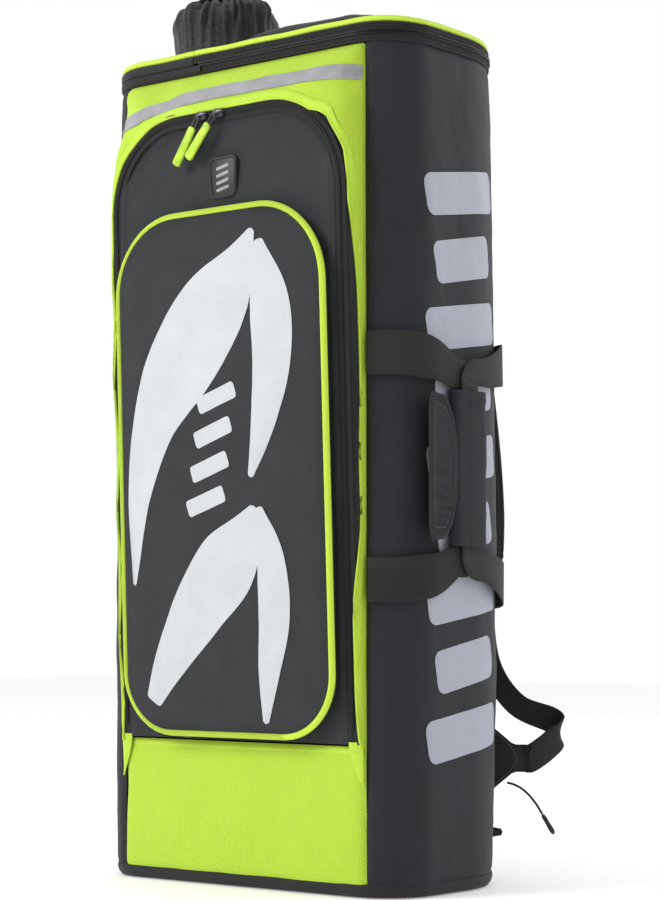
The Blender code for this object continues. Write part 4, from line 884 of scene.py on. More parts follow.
def arch(grow=0.0):
    half, roof, r = FLAP_HALF + grow, FLAP_HEIGHT + grow, FLAP_RADIUS + grow
    pts = [(-half, (roof - r) * k / LEG_STEPS) for k in range(LEG_STEPS)]
    for k in range(CORNER_STEPS + 1):
        a = math.pi / 2 * k / CORNER_STEPS
        pts.append((-half + r - r * math.cos(a), roof - r + r * math.sin(a)))
    top = np.linspace(-half + r, half - r, 24)[1:-1]
    return np.array(pts + [(x, roof) for x in top] + [(-x, v) for x, v in pts[::-1]])


def frame_edges():
    """The lime surround's seam line and its edge along the arch, as matching points."""
    inner = arch(0.005)
    count = len(inner)
    half = LEG_STEPS + CORNER_STEPS + 1
    roof = BAND_BOTTOM - SEAM_GAP
    outer = []
    for k, (x, _) in enumerate(inner):
        m, side = min(k, count - 1 - k), -1 if k < count / 2 else 1
        if m >= half:
            outer.append((x, -DEPTH / 2, roof))
            continue
        c = m * 6 / LEG_STEPS if m <= LEG_STEPS else 6 + (m - LEG_STEPS) * 10 / CORNER_STEPS
        share = (c - 7) / 9
        if c <= 7:
            z = FLAP_BOTTOM + (roof - FLAP_RADIUS - FLAP_BOTTOM) * c / 7
        else:
            z = roof - FLAP_RADIUS * (1 - 2 * min(share, 0.5))
        if share < 0.5:
            outer.append((side * FRONT_SEAM[0], FRONT_SEAM[1], z))
            continue
        px = FRONT_SEAM[0] + (abs(x) - FRONT_SEAM[0]) * (2 * share - 1)
        outer.append((side * px, chord(px, 0.0)[0], roof))
    return np.array(outer), flap_point(inner[:, 0], inner[:, 1])


def frame_surface(T, outer, inner, lift=0.0):
    """Points of the surround; T runs from its seam, 0, to the arch, 1, one column per edge point."""
    P = outer + (inner - outer) * T[..., None]
    P[..., 1] += (inner[:, 1] - outer[:, 1]) * (np.sin(math.pi / 2 * T) - T) * 0.8
    width = np.linalg.norm(inner - outer, axis=1)
    high = np.clip((P[..., 2] - FLAP_BOTTOM) / (BAND_BOTTOM - FLAP_BOTTOM), 0, 1)
    puff = 0.0034 * np.clip(np.sin(math.pi * np.clip(T, 0, 1)), 0,
                            1) ** 0.7 * np.sin(math.pi * high) ** 0.3
    wave = 0.0022 * ripple(P, 0.12, 41) + 0.0006 * ripple(P, 0.032, 42)
    way = P - flap_point(np.zeros(1), np.full(1, FLAP_HEIGHT - FLAP_RADIUS))[0]
    turn = np.arctan2(way[..., 2], np.abs(way[..., 0]))
    wave = wave + 0.0022 * np.exp(-((turn - 0.75) / 0.42) ** 2) * np.sin(turn * 17 + 1.2)
    seam = T * width
    free = np.clip(seam / 0.01, 0, 1) * (0.35 + 0.65 * np.clip((1 - T) * width / 0.02, 0, 1))
    out = puff + wave * free - 0.0022 * np.exp(-(seam / 0.0035) ** 2) + lift
    lean = SEAM_TURN * (1 - T) * np.minimum(np.abs(outer[:, 0]) / FRONT_SEAM[0], 1) ** 8
    P[..., 0] += np.sign(outer[:, 0]) * np.sin(lean) * out
    P[..., 1] -= np.cos(lean) * out
    leg = np.clip((0.60 - P[..., 2]) / 0.1, 0,
                  1) * np.clip((P[..., 2] - FLAP_BOTTOM) / 0.02, 0, 1) * (outer[:, 0] < 0) * T ** 2
    P[..., 0] += leg * 0.0020 * np.sin(P[..., 2] * 55 - 1.0)
    return P


def lime_share(inner):
    """How far the lime cloth reaches from its seam to the arch; it is folded back along the right leg."""
    heights = [0.124, 0.150, 0.172, 0.220, 0.268, 0.300, 0.335, 0.385, 0.430, 0.500, 0.560, 0.600, 0.640]
    shares = [0.45, 0.80, 1.0, 0.92, 0.52, 0.20, 0.14, 0.27, 0.13, 0.19, 0.26, 0.48, 0.85]
    share = np.interp(inner[:, 2], heights, shares)
    return np.where(inner[:, 0] > FLAP_HALF - 0.02, share, 1.0)


def build_front_frame():
    outer, inner = frame_edges()
    width = np.linalg.norm(inner - outer, axis=1)
    share = np.convolve(np.pad(lime_share(inner), 2, mode="edge"), np.ones(5) / 5, mode="valid")

    def flat(P):
        return np.stack([P[..., 0] + P[..., 1] * 0.8, P[..., 2]], axis=-1)

    T = np.linspace(0, 1, 34)[:, None] * share
    P = frame_surface(T, outer, inner)
    body = make("front_frame_mesh", [g_skin(P, CLOTH, (0, 0.1, 0.4), uv=flat(P))], LIME, "shell",
                ["front_frame"])
    T = np.linspace(0.05, 1, 60)[:, None] * np.ones(len(outer))
    under = frame_surface(T, outer, inner, -0.0026)
    leg = inner[:, 0] > FLAP_HALF - 0.03
    make("front_frame_gusset", [g_skin(under[:, leg], 0.0008, (0, 0.1, 0.4))], BLACK_HEM, "shell")
    hem = np.minimum(0.0085, width * share * 0.7)
    T = share - (1 - np.linspace(0, 1, 7))[:, None] * hem / width
    P = frame_surface(T, outer, inner, 0.0012)
    parts = [g_skin(P, 0.0010, (0, 0.1, 0.4))]
    parts.append(g_tube(frame_surface(share[None], outer, inner, 0.0008)[0], 0.0012, sides=8))
    make("front_frame_hem", parts, LIME_HEM, "shell")
    line = frame_surface((share - hem * 0.86 / width)[None], outer, inner, 0.0014)[0]
    make("front_frame_stitches", [g_stitches(line, (0, -1, 0), 0.0034)], THREAD_LIME, "shell")

    tree = BVHTree.FromObject(body, bpy.context.evaluated_depsgraph_get())
    rows = []
    x = np.concatenate([np.linspace(-0.1385, -0.118, 24)[:-1], np.linspace(-0.118, 0.118, 110),
                        np.linspace(0.118, 0.1385, 24)[1:]])
    for i in range(5):
        row = []
        for px in x:
            droop = (0.010 if px < 0 else 0.001) * (abs(px) / 0.14) ** 1.8 + 0.0010
            fold = 0.0026 * (math.tanh((px + 0.098) / 0.006) + math.tanh((px + 0.062) / 0.006)) / 2
            z = TAPE_Z - droop + fold + 0.0130 * (i / 4 - 0.5)
            hit, normal, *_ = tree.ray_cast(Vector((px, -0.4, z)), Vector((0, 1, 0)))
            if hit is None:
                hit, normal = Vector((px, chord(px, 0)[0], z)), Vector((0, -1, 0))
            if normal.y > 0:
                normal = -normal
            row.append(hit + normal * 0.0008)
        rows.append(row)
    P = np.array(rows)
    make("reflective_strip_piece", [g_skin(P, 0.0005, (0, 0.1, 0.7))], SILVER, "shell",
         ["reflective_tape"])
    lines = [P[i] + (0, -0.0002, dz) for i, dz in ((0, 0.0014), (4, -0.0014))]
    make("reflective_strip_stitches",
         [g_stitches(line, (0, -1, 0), 0.0030, 0.0020, 0.0005) for line in lines], THREAD_PALE,
         "shell")


def zip_strip(grow0, grow1, w, steps=5):
    a, b = arch(grow0), arch(grow1)
    t = np.linspace(0, 1, steps)[:, None, None]
    grid = a * (1 - t) + b * t
    grid[..., 1] = np.maximum(grid[..., 1], 0.004)
    return g_skin(flap_point(grid[..., 0], grid[..., 1], w), 0.0005, (0, 0.1, 0.4))


def plane_teeth(line, w, across, along=0.0010, out=0.0014, pitch=0.0020, closed=False):
    spots, t = walk(line, pitch, closed)
    n = np.stack([-t[:, 1], t[:, 0]], axis=1)
    def lifted(d):
        return flap_point(d[:, 0], d[:, 1]) - flap_point(np.zeros(1), np.zeros(1))
    outs = np.broadcast_to(FLAP_OUT, (len(t), 3))
    return g_boxes(flap_point(spots[:, 0], spots[:, 1], w),
                   np.stack([lifted(t), lifted(n), outs], axis=1), (along, across, out))


def flap_w(x, v):
    sag = -0.0036 * np.exp(-((v - 0.522) / 0.030) ** 2) * np.clip(1 - (x / 0.125) ** 2, 0, 1) ** 0.5
    edge = 0.0012 * np.exp(-((FLAP_HALF - 0.010 - np.abs(x)) / 0.003) ** 2)
    P = np.stack([x, v, 0 * x], axis=-1)
    return 0.0006 + sag + edge + 0.0009 * ripple(P, 0.09, 51) + 0.0003 * ripple(P, 0.025, 52)


def org_line(grow=0.0, corner=16):
    half, low, top = ORG_HALF + grow, ORG_LOW - grow, ORG_TOP + grow
    pts = []
    for cx, cv, r, turn in ((half - ORG_R_LOW - grow, low + ORG_R_LOW + grow, ORG_R_LOW + grow, -1),
                            (half - ORG_R_TOP - grow, top - ORG_R_TOP - grow, ORG_R_TOP + grow, 0),
                            (-half + ORG_R_TOP + grow, top - ORG_R_TOP - grow, ORG_R_TOP + grow, 1),
                            (-half + ORG_R_LOW + grow, low + ORG_R_LOW + grow, ORG_R_LOW + grow, 2)):
        for k in range(corner + 1):
            a = math.pi / 2 * (turn + k / corner)
            pts.append((cx + r * math.cos(a), cv + r * math.sin(a)))
    pts = np.array(pts)
    spots, _ = walk(pts, 0.006, True)
    return spots


def org_half(v):
    """Half the organizer's width at a height up the flap."""
    low, top = v - ORG_LOW, ORG_TOP - v
    a = ORG_HALF - ORG_R_LOW + np.sqrt(np.clip(ORG_R_LOW ** 2 - np.clip(ORG_R_LOW - low, 0, None) ** 2, 0,
                                               None))
    b = ORG_HALF - ORG_R_TOP + np.sqrt(np.clip(ORG_R_TOP ** 2 - np.clip(ORG_R_TOP - top, 0, None) ** 2, 0,
                                               None))
    return np.minimum(a, b)


def door_w(x, v):
    mid, tall = (ORG_LOW + ORG_TOP) / 2, (ORG_TOP - ORG_LOW) / 2
    f = np.clip((1 - (x / ORG_HALF) ** 2) * (1 - ((v - mid) / tall) ** 2), 0, 1) ** 0.5
    P = np.stack([x, v, 0 * x], axis=-1)
    return ORG_DEPTH - 0.0006 + 0.0058 * f + f * (0.0009 * ripple(P, 0.11, 61)
                                                  + 0.00025 * ripple(P, 0.03, 62))


def door_point(x, v, lift=0.00035):
    return flap_point(x, v, door_w(x, v) + lift)


def ring_points(line, heights):
    return np.stack([flap_point(line[:, 0], line[:, 1], w) for w in heights])


def build_flap():
    edge = arch(-0.0052)
    half = len(edge) // 2
    t = np.linspace(1, -1, 61)[None, :]
    X = edge[:half, :1] * t
    V = np.maximum(edge[:half, 1:], 0.004) + 0 * t
    P = flap_point(X, V, flap_w(X, V))
    make("front_flap_cloth", [g_skin(P, CLOTH, (0, 0.1, 0.4))], BLACK, "flap",
         ["front_flap"])
    make("flap_zip_cloth", [zip_strip(-0.0003, -0.0070, 0.0004)], ZIP_TAPE, "flap",
         ["flap_zip_tape"])
    make("frame_zip_cloth", [zip_strip(0.0003, 0.0068, 0.0004)], ZIP_TAPE, "shell",
         ["frame_zip_tape"])
    line = arch(-0.0010)
    line = line[line[:, 1] > 0.006]
    make("flap_zip_coil", [plane_teeth(line, 0.0011, 0.0016)], COIL, "flap")
    line = arch(0.0010)
    line = line[line[:, 1] > 0.006]
    make("frame_zip_coil", [plane_teeth(line, 0.0011, 0.0016)], COIL, "shell")
    line = arch(-0.0095)
    line = line[line[:, 1] > 0.008]
    make("flap_stitches",
         [g_stitches(flap_point(line[:, 0], line[:, 1], flap_w(line[:, 0], line[:, 1]) + 0.0003),
                     FLAP_OUT)],
         THREAD_DARK, "flap")
    # organizer
    gusset = ring_points(org_line(0.0), (-0.0005, 0.0012, 0.0030, 0.0046, 0.0052))
    make("organizer_gusset_cloth",
         [g_skin(gusset, 0.0011, flap_point(np.zeros(1), np.full(1, 0.24))[0], wrap=True)], BLACK,
         "flap", ["organizer_gusset"])
    line = org_line(0.0004)
    make("organizer_coil_low", [plane_teeth(line, 0.0059, 0.0016, out=0.0014, closed=True)], COIL, "flap",
         ["organizer_zip"])
    make("organizer_coil_high", [plane_teeth(line, 0.0076, 0.0016, out=0.0014, closed=True)], COIL,
         "organizer_door")
    a = np.linspace(0, math.pi / 2, 16)
    v = np.concatenate([ORG_LOW + ORG_R_LOW * (1 - np.cos(a)),
                        np.linspace(ORG_LOW + ORG_R_LOW, ORG_TOP - ORG_R_TOP, 60)[1:-1],
                        (ORG_TOP - ORG_R_TOP * (1 - np.cos(a)))[::-1]])
    X = org_half(v)[:, None] * np.sin(np.linspace(-1, 1, 70) * math.pi / 2)[None, :]
    V = v[:, None] + 0 * X
    make("organizer_door_cloth", [g_skin(flap_point(X, V, door_w(X, V)), CLOTH, (0, 0.1, 0.4))], BLACK,
         "organizer_door",
         ["organizer_door"])
    skirt = ring_points(org_line(0.0), (0.0084, 0.0092, 0.0108, 0.0128))
    make("organizer_skirt_cloth",
         [g_skin(skirt, 0.0011, flap_point(np.zeros(1), np.full(1, 0.24))[0], wrap=True)], BLACK,
         "organizer_door", ["organizer_skirt"])
    line = org_line(0.0024)
    path = flap_point(line[:, 0], line[:, 1], ORG_DEPTH - 0.0024)
    make("organizer_edge_piping", [g_tube(path, 0.0030, True, 14, up=FLAP_OUT)], LIME_CORD,
         "organizer_door",
         ["organizer_piping"])
    line = org_line(-0.0045)
    path = flap_point(line[:, 0], line[:, 1], door_w(line[:, 0], line[:, 1]) + 0.0002)
    make("organizer_stitches", [g_stitches(path, FLAP_OUT, closed=True)], THREAD_DARK, "organizer_door")
    mm = 0.001
    swooshes = [([(46, 448), (22, 408), (-26, 352), (-70, 292), (-94, 220), (-103, 140)],
                 [3, 36, 40, 25, 13, 2]),
                ([(52, 438), (64, 384), (66, 330), (54, 274), (40, 232)], [5, 21, 21, 14, 3]),
                ([(46, 206), (20, 168), (-22, 122), (-60, 74), (-84, 36)], [6, 32, 30, 21, 9]),
                ([(46, 206), (60, 164), (62, 112), (54, 62), (48, 20)], [6, 15, 17, 12, 3])]
    prints = [g_stripe(np.array(line) * mm, np.array(widths) * mm, lambda x, v,
                       k=k: door_point(x, v, 0.00035 + 0.00009 * k),
                       away=(0, 0.1, 0.4), m=17) for k, (line, widths) in enumerate(swooshes)]
    for k in range(4):
        v = 206 + 30 * k
        prints.append(g_stripe(np.array([(-34 + 5 * k, v), (-12 + 5 * k, v + 7), (10 + 5 * k, v + 14)])
                               * mm,
                               np.array([7.5, 7.5, 7.5]) * mm, door_point, m=7, away=(0, 0.1, 0.4)))
    make("organizer_print", prints, PRINT, "organizer_door")


# ---- zip sliders, pulls and badge ----------------------------------------------------------------
def g_plate(origin, axes, outline, z0, z1, bevel=0.0004):
    """A flat piece with softened edges on an outline, its local axes given."""
    X, Y, Z = (np.asarray(a, float) for a in axes)
    pts = np.asarray(outline, float)
    mid = pts.mean(0)
    t = np.roll(pts, -1, 0) - np.roll(pts, 1, 0)
    n = np.stack([t[:, 1], -t[:, 0]], axis=1)
    n /= np.linalg.norm(n, axis=1, keepdims=True)
    if np.sum(n * (pts - mid)) < 0:
        n = -n
    P = []
    for z, shrink in ((z0, bevel), (z0 + bevel * 0.6, bevel * 0.3), (z0 + bevel * 1.2, 0),
                      (z1 - bevel * 1.2, 0),
                      (z1 - bevel * 0.6, bevel * 0.3), (z1, bevel)):
        q = pts - n * shrink
        P.append(np.asarray(origin) + q[:, :1] * X + q[:, 1:] * Y + z * Z)
    return g_loft(np.array(P))


def pill(length, width, radius=None, taper=0.0, n=6):
    """A rounded rectangle, its far end (+Y) narrower by taper."""
    r = min(length, width) / 2 * 0.98 if radius is None else radius
    pts = []
    for sx, sy, turn in ((1, -1, -1), (1, 1, 0), (-1, 1, 1), (-1, -1, 2)):
        w = width - (taper if sy > 0 else 0)
        for k in range(n + 1):
            a = math.pi / 2 * (turn + k / n)
            pts.append((sx * (w / 2 - r) + r * math.cos(a), sy * (length / 2 - r) + r * math.sin(a)))
    return np.array(pts)


def slider_parts(origin, X, Z):
    X, Z = np.array(X, float), np.array(Z, float)
    Y = np.cross(Z, X)
    origin = np.asarray(origin, float)
    body = [g_plate(origin + Z * 0.0012, (Y, X, Z), pill(0.0120, 0.0088, 0.0028, 0.0020), -0.0008, 0.0012,
                    0.0005),
            g_plate(origin + Z * 0.0012, (Y, X, Z), pill(0.0112, 0.0076, 0.0026, 0.0018), 0.0012, 0.0026,
                    0.0005)]
    ramp = [(-0.0046, 0.0036), (-0.0034, 0.0050), (0.0, 0.0056), (0.0034, 0.0050), (0.0046, 0.0036)]
    body.append(g_tube(smooth_path([origin + X * a + Z * b for a, b in ramp], 4), 0.0009, sides=8, up=Y))
    return body


def pull_parts(pivot, X, Y, Z, length, wide):
    """The dark link and the lime tab of a zip pull that hangs along -Y from its pivot."""
    pivot, X, Y, Z = (np.array(a, float) for a in (pivot, X, Y, Z))
    link = [(-0.0019, -0.0120), (-0.0019, -0.0030), (-0.0009, 0.0002), (0.0009, 0.0002),
            (0.0019, -0.0030), (0.0019, -0.0120)]
    link = [g_tube(smooth_path([pivot + X * a + Y * b + Z * 0.0008 for a, b in link], 4), 0.0008, sides=8,
                   up=Z)]
    tab = pivot - Y * (0.0095 + length / 2) + Z * 0.0011
    tabs = [g_plate(tab, (X, Y, Z), pill(length, wide, 0.0028, 0.0014), -0.0014, 0.0016, 0.0006)]
    tabs.append(g_tube(np.array([tab + X * a + Y * b + Z * 0.0016 for a,
                                 b in pill(length * 0.8, wide * 0.56, 0.0018)]),
                       0.0005, True, 6, up=Z))
    return link, tabs


def build_fittings():
    c, s = math.cos(TILT), math.sin(TILT)
    up = np.array([0, -s, c])
    for name, x, tilt in (("left", -0.0215, -0.60), ("right", -0.0015, -0.74)):
        spot = flap_point(np.array(x), np.array(FLAP_HEIGHT), 0.0013)
        make(f"front_slider_body_{name}", slider_parts(spot, (1, 0, 0), FLAP_OUT), METAL,
             f"front_slider_{name}",
             [f"front_slider_{name}"])
        X = np.array([math.cos(tilt), 0, 0]) + up * math.sin(tilt)
        Y = np.array([-math.sin(tilt), 0, 0]) + up * math.cos(tilt)
        hang = flap_point(np.array(x), np.array(FLAP_HEIGHT), 0.0062) - Y * 0.002
        link, tab = pull_parts(hang, X, Y, FLAP_OUT, 0.0385, 0.0090)
        make(f"front_pull_link_{name}", link, METAL, f"front_pull_{name}")
        make(f"front_pull_tab_{name}", tab, LIME_CORD_PLAIN, f"front_pull_{name}",
             [f"front_pull_{name}"])
    spot = (-0.048, DEPTH / 2 + 0.0009, SPLIT_Z)
    make("lid_slider_body", slider_parts(spot, (-1, 0, 0), (0, 1, 0)), METAL, "lid_slider",
         ["lid_slider"])
    link, tab = pull_parts((-0.048, 0.1112, 0.7335), (-1, 0, 0), (0, 0, 1), (0, 1, 0), 0.0200, 0.0072)
    make("lid_pull_link", link, METAL, "lid_pull")
    make("lid_pull_tab", tab, LIME_CORD_PLAIN, "lid_pull", ["lid_zip_pull"])
    spot = flap_point(np.array(-0.052), np.array(ORG_LOW - 0.0006), 0.0067)
    make("organizer_slider_body", slider_parts(spot, (1, 0, 0), -up), METAL, "organizer_slider",
         ["organizer_slider"])

    v = 0.499
    base = flap_point(np.zeros(1), np.full(1, v), 0.0)[0]
    level = float(flap_w(np.zeros(1), np.full(1, v))[0])
    X = (1, 0, 0)
    shield = pill(0.038, 0.030, 0.0062, -0.003, 8)
    parts = [g_plate(base + FLAP_OUT * level, (X, up, FLAP_OUT), shield, -0.0010, 0.0019, 0.0006)]
    rim = np.array([base + FLAP_OUT * (level + 0.0020) + np.array(X) * a * 0.9 + up * b * 0.91 for a,
                    b in shield])
    parts.append(g_tube(rim, 0.0008, True, 8, up=FLAP_OUT))
    make("badge_plate", parts, RUBBER, "flap", ["badge"])
    bars = []
    for k in range(4):
        lean = up * 0.22 + np.array(X)
        lean /= np.linalg.norm(lean)
        at = base + up * (-0.0100 + 0.0064 * k) + FLAP_OUT * (level + 0.0019)
        bars.append(g_plate(at, (lean, np.cross(FLAP_OUT, lean), FLAP_OUT), pill(0.0030, 0.0150, 0.0012),
                            -0.0004, 0.0007, 0.0003))
    make("badge_bars", bars, PALE_RUBBER, "flap")


# ---- side handle ---------------------------------------------------------------------------------
def handle_route(anchor_travel, upper, lower, off):
    middle = FRONT_RADIUS * (math.pi / 2 - SEAM_TURN) + GRIP_Y - (FRONT_RADIUS - DEPTH / 2)
    half, sweep = GRIP_LENGTH / 2, middle - anchor_travel
    top, foot = GRIP_Z + half, GRIP_Z - half
    stations = [(0.0, upper, 0.0), (0.30, upper, 0.15), (0.55, upper - 0.004, 0.55),
                (0.80, upper - 0.014, 0.9),
                (0.95, (upper + top) / 2, 1.0), (1.0, top + 0.010, 1.0), (1.0, top + 0.002, 1.0),
                (1.0, GRIP_Z + half * 0.5, 1.0),
                (1.0, GRIP_Z, 1.0), (1.0, GRIP_Z - half * 0.5, 1.0), (1.0, foot - 0.002, 1.0),
                (1.0, foot - 0.010, 1.0),
                (0.95, (lower + foot) / 2, 1.0), (0.80, lower + 0.014, 0.9), (0.55, lower + 0.004, 0.55),
                (0.30, lower, 0.15), (0.0, lower, 0.0)]
    low = 0.0006 + 0.0009
    route = smooth_path([(anchor_travel + sweep * s, z, lift) for s, z, lift in stations], 8)
    s, z, lift = SEAM_F + route[:, 0], route[:, 1], np.clip(route[:, 2], 0, 1)
    reach = low + 0.0008 + (off - low) * lift + bulge(s, z) * (1 - (1 - GRIP_SHIFT)
                                                               * lift) + 0.0010 * (1 - lift)
    path = wall_points(s, z, reach)
    _, _, nx, ny = plan_at(s)
    across = np.cross(np.stack([nx, ny, 0 * nx], axis=1), np.gradient(path, axis=0))
    near = np.clip(((route[:, 0] - anchor_travel) / sweep - 0.5) / 0.4, 0, 1)
    return path, across, 0.038 * (1 - near) + 0.024 * near


def build_handle():
    step = 0.0027
    for name, travel, upper, lower, off, y0, y1 in (
            ("front", 0.003, GRIP_Z + 0.096, GRIP_Z - 0.0955, GRIP_OFF - step / 2, -0.098, -0.060),
            ("rear", SEAM_B - SEAM_F - 0.004, GRIP_Z + 0.100, GRIP_Z - 0.100, GRIP_OFF + step / 2, 0.085,
             0.020)):
        path, across, widths = handle_route(travel, upper, lower, off)
        strap = make(f"handle_strap_{name}", [g_ribbon(path, across, widths, 0.0020)], WEBBING,
                     replaces=[f"handle_webbing_{name}"])
        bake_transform(strap)
    x_mid = WIDTH / 2 + GRIP_OFF + float(bulge(SEAM_F + 0.147, GRIP_Z)) * GRIP_SHIFT
    z = GRIP_Z + GRIP_LENGTH / 2 * np.sin(np.linspace(-1, 1, 64) * math.pi / 2)
    h = (z - GRIP_Z) / (GRIP_LENGTH / 2)
    k = np.arange(44) * TAU / 44
    sx, sy = squarish(k, 0.62, 0.42)
    hem = (0.0009 * np.clip((np.abs(h) - 0.845) / 0.012, 0, 1)
           - 0.0007 * np.exp(-((np.abs(h) - 0.84) / 0.012) ** 2))
    puff = 0.0011 * (1 - h ** 2) + hem
    P = np.stack([x_mid + (0.0052 + puff)[:, None] * sx, GRIP_Y + (0.0226 + puff * 0.6)[:, None] * sy,
                  z[:, None] + 0 * k], axis=2)
    P += 0.00035 * ripple(P, 0.03, 71)[..., None]
    grip = make("grip_sleeve", [g_skin(P, 0.0016, (x_mid, GRIP_Y, GRIP_Z), wrap=True)], WRAP, "handle",
                ["handle_grip"])
    threads = []
    for side in (-1, 1):
        ring = np.stack([x_mid + 0.0061 * sx, GRIP_Y + 0.0229 * sy,
                         0 * k + GRIP_Z + side * GRIP_LENGTH / 2 * 0.83], axis=1)
        outs = np.stack([np.cos(k), np.sin(k), 0 * k], axis=1)
        threads.append(g_stitches(ring, outs, 0.0026, 0.0018, 0.0003, closed=True))
    # the open leaf of the wrap: straight along its free edge, bowed where it meets the grip
    y_in, y_out, tall = GRIP_Y - 0.0228, -0.0775, 0.059
    a = np.linspace(-1, 1, 40)
    bow = [(y_in - 0.012 * a_ ** 4 - 0.005 * a_ ** 2, GRIP_Z + tall * a_) for a_ in a]
    straight = [(y_out + 0.003 * abs(b) ** 10, GRIP_Z + (tall + 0.002) * b)
                for b in np.linspace(1, -1, 30)]
    outline = np.array(bow + straight)
    lx = 0.19065
    mid = outline.mean(0)
    rings = []
    for w, shrink in ((-0.0016, 0.985), (-0.0019, 0.93), (0.0019, 0.93), (0.0016, 0.985)):
        q = mid + (outline - mid) * shrink
        rings.append(np.stack([0 * q[:, 0] + lx + w, q[:, 0], q[:, 1]], axis=1))
    leaf = make("grip_leaf_pad", [g_loft(np.array(rings))], WRAP, "grip_leaf", ["grip_leaf"])
    edge = np.stack([0 * outline[:, 0] + lx, outline[:, 0], outline[:, 1]], axis=1)
    make("grip_leaf_binding", [g_tube(edge, 0.0023, True, 10, up=(1, 0, 0))], BINDING, "grip_leaf")
    q = mid + (outline - mid) * 0.86
    line = np.stack([0 * q[:, 0] + lx + 0.0020, q[:, 0], q[:, 1]], axis=1)
    make("grip_stitches", threads, THREAD_DARK, "handle")
    make("grip_leaf_stitches", [g_stitches(line, (1, 0, 0), 0.0026, 0.0018, 0.0003, closed=True)],
         THREAD_GREY, "grip_leaf")


# ---- back harness --------------------------------------------------------------------------------
def g_padded_strap(path, across, widths, thick, seed):
    path, across = np.asarray(path, float), np.asarray(across, float)
    t = np.gradient(path, axis=0)
    t /= np.linalg.norm(t, axis=1, keepdims=True)
    a = across - t * np.sum(across * t, axis=1, keepdims=True)
    a /= np.linalg.norm(a, axis=1, keepdims=True)
    n = np.cross(t, a)
    k = np.arange(36) * TAU / 36
    u, w = squarish(k, 0.45, 0.75)
    P = (path[:, None] + a[:, None] * u[None, :, None] * widths[:, None, None] / 2
         + n[:, None] * w[None, :, None] * thick / 2)
    return g_loft(P + 0.0004 * ripple(P, 0.03, seed)[..., None]), a, n


